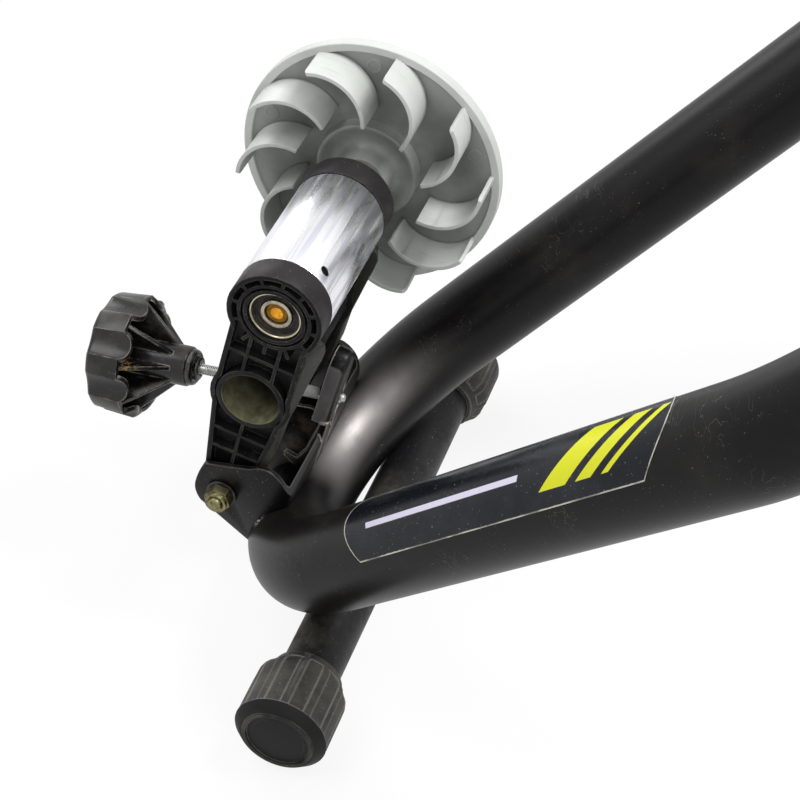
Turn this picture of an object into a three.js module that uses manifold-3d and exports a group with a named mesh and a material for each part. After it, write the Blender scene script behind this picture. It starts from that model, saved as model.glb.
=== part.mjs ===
// Folding bicycle turbo trainer with a fan resistance unit.
// Millimetres. +X is the rider's right, +Y is forward, +Z is up, and the floor is z = 0.

import * as THREE from 'three';
import { mergeVertices } from 'three/addons/utils/BufferGeometryUtils.js';
import Module from 'manifold-3d';

const wasm = await Module();
wasm.setup();

// Angles are in degrees. Shares and counts are plain numbers.
const degree = Math.PI / 180;
const quarterTurn = Math.PI / 2;
const fullTurn = Math.PI * 2;

// Gaps that all the pieces share
const seatGap = 0.3;
const cutOverrun = 2;

// Main tube, bent into a U
const tubeRadius = 25.4;
const tubeWall = 2;
const tubeSideCount = 24;
const rearBendSetback = 16.56;
const rearBendStepCount = 16;
const armSplayAngle = 14.26;
const armHalfSpread = 82.75;
const armReach = 482;
const armEndStraight = 132;
const upperBendReach = armReach - armEndStraight;
const upperBendRadius = 150;
const upperBendStepCount = 3;
const frameTiltAngle = 41;

// Plugs in the open ends of the main tube
const plugFlange = 3;
const plugDome = 5;
const plugStem = 14;

// Rear crosstube and its rubber feet
const crosstubeRadius = 15.9;
const crosstubeWall = 1.6;
const crosstubeHalfLength = 154;
const footRadius = 25;
const footHeelRadius = 19;
const footLength = 46;
const footEndX = 162.5;
const footShoulder = 8;
const footHeelStep = 2.5;
const footChamfer = 4.5;
const footRimRadius = 18.8;
const footRimWidth = 2;
const footRimDepth = 1.2;
const footFluteCount = 12;

// Axle line and leg pivot, measured back from the arms' ends
const axleSetback = 34;
const axleReach = armReach - axleSetback;
const legPivotSetback = 53;
const legPivotReach = axleReach - legPivotSetback;

// Folding front leg
const legTubeRadius = 14.3;
const legWall = 1.6;
const legSideCount = 18;
const legLength = 480;
const legCornerRadius = 62;
const legCornerStepCount = 8;
const legArmClearance = 2;
const legTubeStart = 30;
const legEyeRadius = 15;
const legEyeThickness = 8;
const legEyeOverlap = 22;
const legBoltRadius = 5;
const legBoltHeadRadius = 9;
const legBoltHeadHeight = 6;
const legBoltTail = 5;
const legNutRadius = 8.7;
const legNutHeight = 9;
const legStopReach = 20;
const legStopRadius = 5;
const legFootRadius = 21;
const legFootLength = 48;
const legFootX = 108;

// Axle clamps
const sleeveRadius = 17;
const sleeveBoreRadius = 11.3;
const sleeveProud = 7;
const screwRadius = 11;
const cupRadius = 17;
const cupDepth = 16;
const cupMouthRadius = 10;
const cupFloorRadius = 6;
const cupRecess = 9;
const cupGap = 132;
const cupSocketRadius = 7;
const cupSocketDepth = 5;
const spigotRadius = 6.7;
const adjusterTravelRoom = 16;
const handleRadius = 25;
const handleThickness = 14;
const handleLobeCount = 5;
const handleScoopRadius = 9;
const handleHubLength = 6;
const handleHubRadius = 13;

// Clamp lever on the left side
const leverPinReach = 22.9;
const leverPinRadius = 4;
const leverPinHead = 2.5;
const leverPinHeadRadius = 6.5;
const camRadius = 14;
const camEccentricity = 4;
const camLeadAngle = 30;
const camThickness = 12;
const camGap = 0.7;
const cupNoseRadius = 5.6;
const cupStroke = 8;
const clevisWall = 4;
const clevisHalfHeight = 11;
const leverLength = 112;
const leverThickness = 5;
const gripLength = 74;
const gripWall = 3;

// Resistance unit: where its pivot sits above the U plane, and how far its yoke leans over
const pivotForward = -7.8;
const pivotRise = 48.85;
const unitPitchAngle = -60;
const yokeLength = 127.9;

// Yoke
const plateInner = 40;
const plateOuter = 54.9;
const bossRadius = 25;
const waistHalfWidth = 20.3;
const boreHeightShare = 0.5434;
const boreHeight = yokeLength * boreHeightShare;
const boreRadius = 15.6;
const boreLipRadius = 18.6;
const boreBulgeRadius = 22;
const eyeRadius = 12;
const crossTubeRadius = 18.6;
const pivotTubeRadius = 10.5;
const rimWidth = 2.6;
const ribThickness = 1.8;
const pocketDepth = 6;
const pocketFloor = 3;
const upperRibShare = 0.7545;
const upperRibHeight = yokeLength * upperRibShare;
const lowerRibHeight = 41;
const lowestRibHeight = 28;
const sideRibOffset = 8;
const seatLipRadius = 16.4;
const seatRingRadius = 19.5;
const spokeCount = 12;
const webThickness = 5;
const webSlotHalfWidth = 6;
const webSlotHalfHeight = 9;

// Bearings
const bearingRadius = 14;
const bearingWidth = 8;
const bearingRecess = 3;
const raceOuterRadius = 8.2;
const shieldDepth = 1;

// Roller and its shaft
const rollerRadius = 25;
const rollerHalfLength = 39.6;
const rollerEdge = 1.2;
const shaftRadius = 6;
const shaftEndRecess = 4;
const shaftDimpleRadius = 3.6;
const shaftDimpleDepth = 1.4;
const setScrewRadius = 2.2;
const setScrewLength = 9;
const setScrewX = 31.5;
const setScrewAngle = 33;
const setScrewSunk = 2;

// Fan
const fanRadius = 73.3;
const fanRimInnerRadius = 68.6;
const fanRimFace = 88.5;
const fanDiscFace = 90.6;
const fanDiscThickness = 2.4;
const fanRimBack = 95.2;
const fanBladeFace = 66;
const bladeCount = 10;
const bladePhaseAngle = 21;
const bladeThickness = 2.1;
const bladeArcRadius = 25.6;
const bladeArcForward = 44;
const bladeArcSide = 4.5;
const bladeStartAngle = -10.2;
const bladeEndAngle = -117.5;
const bladeStepCount = 10;
const bladeRoot = 0.8;
const fanHubStepRadius = 28.2;
const fanHubStepFace = 81.6;
const fanDishFace = 84.5;
const fanDishRadius = 20;
const fanBossRadius = 13;
const fanBossFace = 74;
const fanSeatRadius = 5;
const fanShoulderX = 70;
const fanNutRadius = 7.5;
const fanNutHeight = 6.5;
const fanWasherRadius = 10;
const fanWasherThickness = 1.6;
const fanThreadTail = 3;

// Steel bracket that carries the unit on the bend
const sheet = 3;
const sheetBend = 6;
const earReach = 15.6;
const earBackY = -13.5;
const earBackZ = 15.5;
const earCrestY = 11;
const earCrestZ = 25.4;
const earHornY = 18.5;
const earHornZ = 29;
const earSlopeY = 29;
const earSlopeZ = 15;
const webFace = 36;
const webTop = 13;
const earHeelY = 27;
const earHeelZ = -29.2;
const skirtDrop = 22.5;
const tongueHalfWidth = 8.6;
const tongueBack = 24;
const tongueTop = 71.5;
const tongueTopRadius = 9;
const tongueFootBack = 28;
const tongueStepZ = 33;
const tongueStepRise = 4;

// Pivot bolt of the yoke
const pivotBoltRadius = 4;
const pivotSleeveRadius = 6.4;
const pivotHeadRadius = 7.5;
const pivotHeadHeight = 5.3;
const pivotNutRadius = 7.5;
const pivotNutHeight = 5.4;
const pivotCollarRadius = 6;
const pivotCollarHeight = 2.2;
const pivotWasherRadius = 8.5;
const pivotWasherThickness = 1;
const pivotTail = 1.8;

// Tension knob and its threaded rod
const rodHeight = 33.1;
const rodRiseAngle = 16.1;
const rodRadius = 3;
const rodHubDepth = 22;
const knobStandOff = 45.1;
const knobHubRadius = 11.3;
const knobHubChamfer = 2;
const knobRimStart = 33;
const knobRimEnd = 53;
const knobDome = 3;
const knobRadius = 34.5;
const knobWall = 3;
const knobLobeCount = 8;
const knobLobePhaseAngle = 25;
const knobScoopRadius = 9.4;
const knobScoopOffset = 39.4;
const knobTaper = 5;
const knobGussetStart = 12;
const knobGussetThickness = 2.4;
const knobWasherRadius = 6.5;
const knobWasherThickness = 1.4;
const rodNutRadius = 5.8;
const rodNutHeight = 5;
const rodTail = 3;
const rodSlotHalfHeight = 9;

// Paints and metals
const finishes = {
  blackPaint: { color: 0x1b1a1a, roughness: 0.38, metalness: 0.1 },
  crosstubePaint: { color: 0x26262b, roughness: 0.55, metalness: 0.1 },
  rubber: { color: 0x35362f, roughness: 0.85, metalness: 0 },
  blackPlastic: { color: 0x1c1c1d, roughness: 0.5, metalness: 0 },
  glossPlastic: { color: 0x202021, roughness: 0.3, metalness: 0 },
  aluminium: { color: 0xc9c9ce, roughness: 0.25, metalness: 1 },
  greyMoulding: { color: 0xb4bab6, roughness: 0.42, metalness: 0 },
  zinc: { color: 0xb9b070, roughness: 0.35, metalness: 0.9 },
  steel: { color: 0xa9aaa8, roughness: 0.3, metalness: 1 },
  shaftEnd: { color: 0xb88a3c, roughness: 0.45, metalness: 0.8 },
};

// Solids, cuts and joins

function solid(geometry) {
  const bare = geometry.clone();
  bare.deleteAttribute('normal');
  bare.deleteAttribute('uv');
  const merged = mergeVertices(bare);
  const index = merged.index.array;
  const triangles = [];
  for (let i = 0; i < index.length; i += 3) {
    const [a, b, c] = [index[i], index[i + 1], index[i + 2]];
    if (a !== b && b !== c && c !== a) triangles.push(a, b, c);
  }
  const faces = new Uint32Array(triangles);
  const corners = new Float32Array(merged.attributes.position.array);
  let body = new wasm.Manifold(new wasm.Mesh({ numProp: 3, vertProperties: corners, triVerts: faces }));
  if (body.volume() < 0) {
    for (let i = 0; i < faces.length; i += 3) [faces[i], faces[i + 1]] = [faces[i + 1], faces[i]];
    body = new wasm.Manifold(new wasm.Mesh({ numProp: 3, vertProperties: corners, triVerts: faces }));
  }
  return body;
}

function geometryOf(body) {
  const mesh = body.getMesh();
  const geometry = new THREE.BufferGeometry();
  geometry.setAttribute('position', new THREE.BufferAttribute(new Float32Array(mesh.vertProperties), 3));
  geometry.setIndex(new THREE.BufferAttribute(new Uint32Array(mesh.triVerts), 1));
  geometry.computeVertexNormals();
  return geometry;
}

function joined(bodies) {
  return bodies.reduce((whole, body) => whole.add(body));
}

function cut(body, tools) {
  return tools.reduce((rest, tool) => rest.subtract(tool), body);
}

function moved(body, x, y, z) {
  return body.translate([x, y, z]);
}

function turnedBy(body, xAngle) {
  return body.rotate([xAngle, 0, 0]);
}

function mirroredX(body) {
  return body.mirror([1, 0, 0]);
}

// Outlines

function circlePoints(radius, count, phase = 0, centreY = 0, centreZ = 0) {
  const points = [];
  for (let i = 0; i < count; i += 1) {
    const angle = phase + (i / count) * fullTurn;
    points.push(new THREE.Vector2(centreY + radius * Math.cos(angle), centreZ + radius * Math.sin(angle)));
  }
  return points;
}

function circleShape(radius, count, phase = 0, centreY = 0, centreZ = 0) {
  return new THREE.Shape(circlePoints(radius, count, phase, centreY, centreZ));
}

function ringShape(radius, wall, count) {
  const shape = circleShape(radius, count);
  shape.holes.push(new THREE.Path(circlePoints(radius - wall, count)));
  return shape;
}

function boxShape(yFrom, yTo, zFrom, zTo) {
  const shape = new THREE.Shape();
  shape.moveTo(yFrom, zFrom);
  shape.lineTo(yTo, zFrom);
  shape.lineTo(yTo, zTo);
  shape.lineTo(yFrom, zTo);
  shape.closePath();
  return shape;
}

// An outline drawn in the (y, z) plane, thick along x
function slabX(shape, xFrom, xTo, curveSegments = 8) {
  const settings = { depth: xTo - xFrom, bevelEnabled: false, curveSegments };
  const geometry = new THREE.ExtrudeGeometry(shape, settings);
  const basis = new THREE.Matrix4().makeBasis(
    new THREE.Vector3(0, 1, 0),
    new THREE.Vector3(0, 0, 1),
    new THREE.Vector3(1, 0, 0),
  );
  geometry.applyMatrix4(basis);
  geometry.translate(xFrom, 0, 0);
  return solid(geometry);
}

// An outline drawn in the (x, y) plane, thick along z
function slabZ(shape, zFrom, zTo, curveSegments = 8) {
  const settings = { depth: zTo - zFrom, bevelEnabled: false, curveSegments };
  const geometry = new THREE.ExtrudeGeometry(shape, settings);
  geometry.translate(0, 0, zFrom);
  return solid(geometry);
}

// An outline drawn in the (x, z) plane, thick along y
function slabY(shape, yFrom, yTo, curveSegments = 8) {
  const settings = { depth: yTo - yFrom, bevelEnabled: false, curveSegments };
  const geometry = new THREE.ExtrudeGeometry(shape, settings);
  geometry.rotateX(quarterTurn);
  geometry.translate(0, yTo, 0);
  return solid(geometry);
}

function block(xFrom, xTo, yFrom, yTo, zFrom, zTo) {
  return slabX(boxShape(yFrom, yTo, zFrom, zTo), xFrom, xTo);
}

function rodX(radius, xFrom, xTo, count = 24) {
  return slabX(circleShape(radius, count), xFrom, xTo);
}

function rodY(radius, yFrom, yTo, count = 20) {
  return slabY(circleShape(radius, count), yFrom, yTo);
}

// A profile of [along, radius] pairs turned about the x axis
function turned(profile, count) {
  const points = profile.map(([along, radius]) => new THREE.Vector2(radius, along));
  const geometry = new THREE.LatheGeometry(points, count);
  geometry.rotateZ(-quarterTurn);
  return solid(geometry);
}

// A bent tube's centre line, with a station only where the tube needs one
class BentPath extends THREE.Curve {
  constructor(stations) {
    super();
    this.stations = stations;
  }

  station(share) {
    return this.stations[Math.round(share * (this.stations.length - 1))];
  }

  getPoint(share, target = new THREE.Vector3()) {
    return target.copy(this.station(share).point);
  }

  getPointAt(share, target) {
    return this.getPoint(share, target);
  }

  getTangent(share, target = new THREE.Vector3()) {
    return target.copy(this.station(share).tangent);
  }

  getTangentAt(share, target) {
    return this.getTangent(share, target);
  }
}

// Stations of a flat bend about a centre, from one polar angle to another
function bendStations(centreX, centreY, radius, from, to, count) {
  const stations = [];
  for (let i = 0; i <= count; i += 1) {
    const angle = from + ((to - from) * i) / count;
    const way = Math.sign(to - from);
    stations.push({
      point: new THREE.Vector3(centreX + radius * Math.cos(angle), centreY + radius * Math.sin(angle), 0),
      tangent: new THREE.Vector3(-Math.sin(angle) * way, Math.cos(angle) * way, 0),
    });
  }
  return stations;
}

function sweep(shape, stations) {
  const path = new BentPath(stations);
  const settings = { steps: stations.length - 1, extrudePath: path, bevelEnabled: false };
  return solid(new THREE.ExtrudeGeometry(shape, settings));
}

// Main frame

const splay = armSplayAngle * degree;
const tilt = frameTiltAngle * degree;
const armTopX = armHalfSpread + upperBendReach * Math.tan(splay);
// The bend's back stays where it is and its radius follows the spread of the arms
const rearBendRadius =
  (armHalfSpread * Math.cos(splay) - rearBendSetback * Math.sin(splay)) / (1 - Math.sin(splay));
const rearBendCentreY = rearBendRadius - rearBendSetback;

function frameStations() {
  const setback = upperBendRadius * Math.tan(splay / 2);
  const up = new THREE.Vector3(0, 1, 0);
  const left = bendStations(
    -armTopX + upperBendRadius,
    upperBendReach + setback,
    upperBendRadius,
    Math.PI,
    Math.PI + splay,
    upperBendStepCount,
  );
  const rear = bendStations(
    0,
    rearBendCentreY,
    rearBendRadius,
    Math.PI + splay,
    fullTurn - splay,
    rearBendStepCount,
  );
  const right = bendStations(
    armTopX - upperBendRadius,
    upperBendReach + setback,
    upperBendRadius,
    -splay,
    0,
    upperBendStepCount,
  );
  const first = { point: new THREE.Vector3(-armTopX, armReach, 0), tangent: up.clone().negate() };
  const last = { point: new THREE.Vector3(armTopX, armReach, 0), tangent: up };
  return [first, ...left, ...rear, ...right, last];
}

const centreLine = frameStations();
const tubeEnvelope = sweep(circleShape(tubeRadius + seatGap, tubeSideCount), centreLine);

function legStopPlace() {
  const drop = legDropAngle + tilt;
  const offset = legEyeRadius + legStopRadius + seatGap;
  return {
    y: legPivotReach + legStopReach * Math.cos(drop) + offset * Math.sin(drop),
    z: -legStopReach * Math.sin(drop) + offset * Math.cos(drop),
  };
}

// The foot stands on one of its flats
const footFlat = footRadius * Math.cos(Math.PI / footFluteCount);
const crosstubeDrop = tubeRadius + crosstubeRadius + seatGap;
const frameLift = footFlat + crosstubeDrop * Math.cos(tilt);
const legPivotHeight = legPivotReach * Math.sin(tilt) + frameLift;
const legFootFlat = legFootRadius * Math.cos(Math.PI / footFluteCount);
const legDropAngle = Math.asin((legPivotHeight - legFootFlat) / legLength);
const stopPlace = legStopPlace();

function mainFrame() {
  const tools = [];
  for (const side of [-1, 1]) {
    const from = side * armTopX - tubeRadius - cutOverrun;
    const to = side * armTopX + tubeRadius + cutOverrun;
    tools.push(moved(rodX(legBoltRadius + seatGap, from, to), 0, legPivotReach, 0));
    tools.push(moved(rodX(sleeveRadius + seatGap, from, to), 0, axleReach, 0));
    const stopFrom = side > 0 ? armTopX : from;
    const stopTo = side > 0 ? to : -armTopX;
    tools.push(moved(rodX(legStopRadius + seatGap, stopFrom, stopTo), 0, stopPlace.y, stopPlace.z));
  }
  return cut(sweep(ringShape(tubeRadius, tubeWall, tubeSideCount), centreLine), tools);
}

function tubePlug() {
  const bore = tubeRadius - tubeWall - seatGap;
  const profile = [
    [-plugStem, 0],
    [-plugStem, bore - seatGap],
    [-plugStem / 3, bore],
    [0, bore],
    [0, tubeRadius],
    [plugFlange, tubeRadius],
    [plugFlange + plugDome / 2, tubeRadius - plugDome / 2],
    [plugFlange + plugDome, tubeRadius - plugDome * 2],
    [plugFlange + plugDome, 0],
  ];
  return turned(profile, tubeSideCount);
}

function rearCrosstube() {
  return slabX(ringShape(crosstubeRadius, crosstubeWall, 20), -crosstubeHalfLength, crosstubeHalfLength);
}

// A rubber foot that slips over the end of a tube and is closed at its outer end
function rubberFoot() {
  const heel = footEndX - footLength;
  const rimFace = footEndX - footRimDepth;
  const outside = [
    [heel, 0],
    [heel, footHeelRadius],
    [heel + footHeelStep, footHeelRadius],
    [heel + footHeelStep + footShoulder, footRadius],
    [rimFace - footChamfer, footRadius],
    [rimFace, footRadius - footChamfer],
    [rimFace, footRimRadius],
    [footEndX, footRimRadius],
    [footEndX, footRimRadius - footRimWidth],
    [rimFace, footRimRadius - footRimWidth],
    [rimFace, 0],
  ];
  const body = turned(outside, footFluteCount);
  const bore = rodX(crosstubeRadius + seatGap, heel - cutOverrun, crosstubeHalfLength + seatGap);
  return body.subtract(bore);
}

// Front leg, drawn along +y from its pivot

const legHalfSpan = armTopX + tubeRadius + legTubeRadius + legArmClearance;

function frontLeg() {
  const corner = legHalfSpan - legCornerRadius;
  const floorY = legLength - legCornerRadius;
  const down = new THREE.Vector3(0, 1, 0);
  const right = bendStations(corner, floorY, legCornerRadius, 0, quarterTurn, legCornerStepCount);
  const left = bendStations(-corner, floorY, legCornerRadius, quarterTurn, Math.PI, legCornerStepCount);
  const stations = [
    { point: new THREE.Vector3(legHalfSpan, legTubeStart, 0), tangent: down },
    ...right,
    ...left,
    { point: new THREE.Vector3(-legHalfSpan, legTubeStart, 0), tangent: down.clone().negate() },
  ];
  const tube = sweep(ringShape(legTubeRadius, legWall, legSideCount), stations);
  const eyes = [];
  const holes = [];
  for (const side of [-1, 1]) {
    const inner = armTopX + tubeRadius + legArmClearance + seatGap;
    const outline = new THREE.Shape();
    const flank = legTubeRadius - legWall;
    outline.moveTo(legTubeStart + legEyeOverlap, -flank);
    outline.lineTo(legTubeStart + legEyeOverlap, flank);
    outline.lineTo(0, legEyeRadius);
    outline.absarc(0, 0, legEyeRadius, quarterTurn, 3 * quarterTurn, false);
    outline.closePath();
    const eye = slabX(outline, inner, inner + legEyeThickness);
    const hole = rodX(legBoltRadius + seatGap, inner - cutOverrun, inner + legEyeThickness + cutOverrun);
    eyes.push(side > 0 ? eye : mirroredX(eye));
    holes.push(side > 0 ? hole : mirroredX(hole));
  }
  return cut(joined([tube, ...eyes]), holes);
}

function legFoot() {
  const half = legFootLength / 2;
  const outside = [
    [-half, 0],
    [-half, legFootRadius - footHeelStep],
    [-half + footHeelStep, legFootRadius],
    [half - footHeelStep, legFootRadius],
    [half, legFootRadius - footHeelStep],
    [half, 0],
  ];
  const bore = rodX(legTubeRadius + seatGap, -half - cutOverrun, half + cutOverrun, legSideCount);
  return turned(outside, footFluteCount).subtract(bore);
}

function hexPrism(radius, xFrom, xTo) {
  return slabX(circleShape(radius, 6), xFrom, xTo);
}

const legEyeInner = armTopX + tubeRadius + legArmClearance + seatGap;
const legEyeOuter = legEyeInner + legEyeThickness;

function legBolt() {
  const inner = armTopX - tubeRadius - legNutHeight - seatGap - legBoltTail;
  const seat = legEyeOuter + seatGap;
  const head = hexPrism(legBoltHeadRadius, seat, seat + legBoltHeadHeight);
  return rodX(legBoltRadius, inner, legEyeOuter + legBoltHeadHeight).add(head);
}

function legNut() {
  const outer = armTopX - tubeRadius - seatGap;
  const bore = rodX(legBoltRadius + seatGap, outer - legNutHeight - cutOverrun, outer + cutOverrun);
  return hexPrism(legNutRadius, outer - legNutHeight, outer).subtract(bore);
}

function legWasher() {
  const inner = armTopX + tubeRadius + seatGap;
  const bore = rodX(legBoltRadius + seatGap, inner - cutOverrun, legEyeInner + cutOverrun);
  return rodX(legBoltHeadRadius, inner, legEyeInner - seatGap).subtract(bore);
}

function legStop() {
  return rodX(legStopRadius, armTopX + legStopRadius, legEyeOuter, 16);
}

// Axle clamps, drawn for the right side about their own axis

const sleeveInner = armTopX - tubeRadius - sleeveProud;
const sleeveOuter = armTopX + tubeRadius + sleeveProud;
const leverPinX = sleeveOuter + leverPinReach;
const cupFace = cupGap / 2;
const cupBack = cupFace + cupDepth;

function axleCup() {
  const outside = [
    [cupFace, 0],
    [cupFace, cupRadius - cupRecess / 4],
    [cupFace + cupRecess / 4, cupRadius],
    [cupBack - cupRecess / 4, cupRadius],
    [cupBack, screwRadius + seatGap],
    [cupBack, 0],
  ];
  const mouth = [
    [cupFace - cutOverrun, 0],
    [cupFace - cutOverrun, cupMouthRadius],
    [cupFace + cupRecess, cupFloorRadius],
    [cupFace + cupRecess, 0],
  ];
  return turned(outside, 24).subtract(turned(mouth, 24));
}

function rightCup() {
  const socket = rodX(cupSocketRadius, cupBack - cupSocketDepth, cupBack + cutOverrun);
  return axleCup().subtract(socket);
}

function adjustScrew() {
  const neck = cupBack + seatGap;
  const spigotEnd = cupBack - cupSocketDepth + seatGap;
  const end = sleeveOuter + adjusterTravelRoom;
  const profile = [
    [spigotEnd, 0],
    [spigotEnd, spigotRadius],
    [neck, spigotRadius],
    [neck, screwRadius],
    [end, screwRadius],
    [end, 0],
  ];
  return turned(profile, 24);
}

function adjustHandle() {
  const start = sleeveOuter + adjusterTravelRoom + seatGap;
  const end = start + handleHubLength + handleThickness;
  const hub = rodX(handleHubRadius, start, end);
  const scoops = [];
  for (let i = 0; i < handleLobeCount; i += 1) {
    const angle = (i / handleLobeCount) * fullTurn;
    const offset = handleRadius + handleScoopRadius / 3;
    const scoop = rodX(handleScoopRadius, start, end + cutOverrun, 16);
    scoops.push(moved(scoop, 0, offset * Math.cos(angle), offset * Math.sin(angle)));
  }
  const wheel = rodX(handleRadius, start + handleHubLength, end, 30);
  return cut(wheel, scoops).add(hub);
}

function clampSleeve() {
  const bore = rodX(sleeveBoreRadius, sleeveInner - cutOverrun, sleeveOuter + cutOverrun);
  return rodX(sleeveRadius, sleeveInner, sleeveOuter).subtract(bore);
}

function clampHousing() {
  const tip = leverPinX + clevisHalfHeight;
  const cheekFrom = camThickness / 2 + seatGap;
  const outline = new THREE.Shape();
  outline.moveTo(sleeveOuter - clevisWall, -clevisHalfHeight);
  outline.lineTo(leverPinX, -clevisHalfHeight);
  outline.absarc(leverPinX, 0, clevisHalfHeight, -quarterTurn, quarterTurn, false);
  outline.lineTo(sleeveOuter - clevisWall, clevisHalfHeight);
  outline.closePath();
  const cheek = slabY(outline, cheekFrom, cheekFrom + clevisWall);
  const farCheek = moved(cheek, 0, -cheekFrom * 2 - clevisWall, 0);
  const pinHole = moved(rodY(leverPinRadius + seatGap, -tip, tip), leverPinX, 0, 0);
  const bore = rodX(sleeveBoreRadius, sleeveInner - cutOverrun, sleeveOuter);
  return cut(joined([rodX(sleeveRadius, sleeveInner, sleeveOuter), cheek, farCheek]), [pinHole, bore]);
}

const camLead = camLeadAngle * degree;
const sliderEnd = leverPinX - camRadius - camEccentricity * Math.cos(camLead) - camGap;

function leftCup() {
  const shoulder = sleeveOuter - clevisWall - seatGap - cupStroke;
  const stem = rodX(screwRadius, cupBack - cupRecess / 4, shoulder);
  const nose = rodX(cupNoseRadius, shoulder - cutOverrun, sliderEnd);
  return joined([axleCup(), stem, nose]);
}

function leverPin() {
  const half = camThickness / 2 + seatGap + clevisWall;
  const shank = rodY(leverPinRadius, -half - leverPinHead, half + leverPinHead);
  const head = rodY(leverPinHeadRadius, half + seatGap, half + seatGap + leverPinHead);
  const tail = rodY(leverPinHeadRadius, -half - seatGap - leverPinHead, -half - seatGap);
  return moved(joined([shank, head, tail]), leverPinX, 0, 0);
}

// The cam's centre leads the pin, so that the cup draws back as the lever lifts
function clampLever() {
  const half = camThickness / 2;
  const camX = leverPinX - camEccentricity * Math.cos(camLead);
  const camZ = -camEccentricity * Math.sin(camLead);
  const cam = slabY(circleShape(camRadius, 28, 0, camX, camZ), -half, half);
  const inner = leverPinX + camRadius - camEccentricity - leverThickness;
  const arm = block(inner, inner + leverThickness, -half, half, -leverLength, camZ);
  const hole = rodY(leverPinRadius + seatGap, -half - cutOverrun, half + cutOverrun);
  const pinHole = moved(hole, leverPinX, 0, 0);
  return cam.add(arm).subtract(pinHole);
}

function leverGrip() {
  const half = camThickness / 2 + seatGap;
  const inner = leverPinX + camRadius - camEccentricity - leverThickness;
  const slotFrom = inner - seatGap;
  const slotTo = inner + leverThickness + seatGap;
  const skin = boxShape(slotFrom - gripWall, slotTo + gripWall, -half - gripWall, half + gripWall);
  const shell = slabZ(skin, -leverLength - gripWall, -leverLength + gripLength);
  const slot = slabZ(
    boxShape(slotFrom, slotTo, -half, half),
    -leverLength - seatGap,
    -leverLength + gripLength + cutOverrun,
  );
  return shell.subtract(slot);
}

// Yoke, drawn with its pivot at the origin and the roller straight above it

function plateOutline(inset) {
  const shapes = [];
  const boss = circleShape(bossRadius - inset, 40, 0, 0, yokeLength);
  const waist = waistHalfWidth - inset;
  const bar = boxShape(-waist, waist, boreHeight, yokeLength);
  const bulge = circleShape(boreBulgeRadius - inset, 32, 0, 0, boreHeight);
  const taper = new THREE.Shape();
  taper.moveTo(-waist, boreHeight);
  taper.lineTo(-eyeRadius + inset, 0);
  taper.absarc(0, 0, eyeRadius - inset, Math.PI, fullTurn, false);
  taper.lineTo(waist, boreHeight);
  taper.closePath();
  shapes.push(boss, bar, bulge, taper);
  return shapes;
}

function plateSolid(inset, xFrom, xTo) {
  return joined(plateOutline(inset).map((shape) => slabX(shape, xFrom, xTo, 12)));
}

function sidePlate() {
  const face = plateOuter;
  const floor = plateOuter - pocketDepth;
  const top = plateOuter + cutOverrun;
  const plate = plateSolid(0, plateInner, face);
  const ribs = [
    moved(rodX(boreLipRadius, floor - cutOverrun, top, 32), 0, 0, boreHeight),
    moved(rodX(seatRingRadius, floor - cutOverrun, top, 36), 0, 0, yokeLength),
    rodX(pivotTubeRadius, floor - cutOverrun, top),
    block(floor - cutOverrun, top, -ribThickness / 2, ribThickness / 2, 0, boreHeight),
  ];
  for (const height of [upperRibHeight, lowerRibHeight, lowestRibHeight]) {
    const [from, to] = [height, height + ribThickness];
    ribs.push(block(floor - cutOverrun, top, -waistHalfWidth, waistHalfWidth, from, to));
  }
  for (const side of [-1, 1]) {
    const from = side * sideRibOffset - ribThickness / 2;
    ribs.push(block(floor - cutOverrun, top, from, from + ribThickness, boreHeight, yokeLength));
  }
  for (let i = 0; i < spokeCount; i += 1) {
    const spoke = block(floor - cutOverrun, top, -ribThickness / 2, ribThickness / 2, 0, bossRadius);
    ribs.push(moved(turnedBy(spoke, (i * 360) / spokeCount), 0, 0, yokeLength));
  }
  const pocket = cut(plateSolid(rimWidth, floor, top), ribs);
  const seat = moved(rodX(seatRingRadius - ribThickness, floor + pocketFloor, top, 36), 0, 0, yokeLength);
  const lip = moved(rodX(seatLipRadius, floor - cutOverrun, top, 36), 0, 0, yokeLength);
  const dish = seat.subtract(lip);
  return cut(plate, [pocket, dish]);
}

const bearingOuterX = plateOuter - bearingRecess;
const bearingInnerX = bearingOuterX - bearingWidth;

function yoke() {
  const right = sidePlate();
  const left = mirroredX(right);
  const reach = plateInner + cutOverrun;
  const crossTube = moved(rodX(crossTubeRadius, -reach, reach, 32), 0, 0, boreHeight);
  const pivotTube = rodX(pivotTubeRadius, -reach, reach);
  const web = block(
    -reach,
    reach,
    -webThickness / 2,
    webThickness / 2,
    0,
    boreHeight - boreRadius,
  );
  const slot = block(
    -webSlotHalfWidth,
    webSlotHalfWidth,
    -webThickness,
    webThickness,
    rodHeight - webSlotHalfHeight,
    rodHeight + webSlotHalfHeight,
  );
  const through = plateOuter + cutOverrun;
  const bore = moved(rodX(boreRadius, -through, through, 32), 0, 0, boreHeight);
  const pivotBore = rodX(pivotSleeveRadius + seatGap, -through, through);
  const shaftBore = moved(rodX(raceOuterRadius + seatGap, -through, through), 0, 0, yokeLength);
  const seat = moved(rodX(bearingRadius + seatGap, bearingInnerX - seatGap, through, 32), 0, 0, yokeLength);
  return cut(
    joined([right, left, crossTube, pivotTube, web]),
    [slot, bore, pivotBore, shaftBore, seat, mirroredX(seat)],
  );
}

function yokeSleeve() {
  const bore = rodX(pivotBoltRadius + seatGap, -plateOuter - cutOverrun, plateOuter + cutOverrun);
  return rodX(pivotSleeveRadius, -plateOuter, plateOuter).subtract(bore);
}

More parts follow.
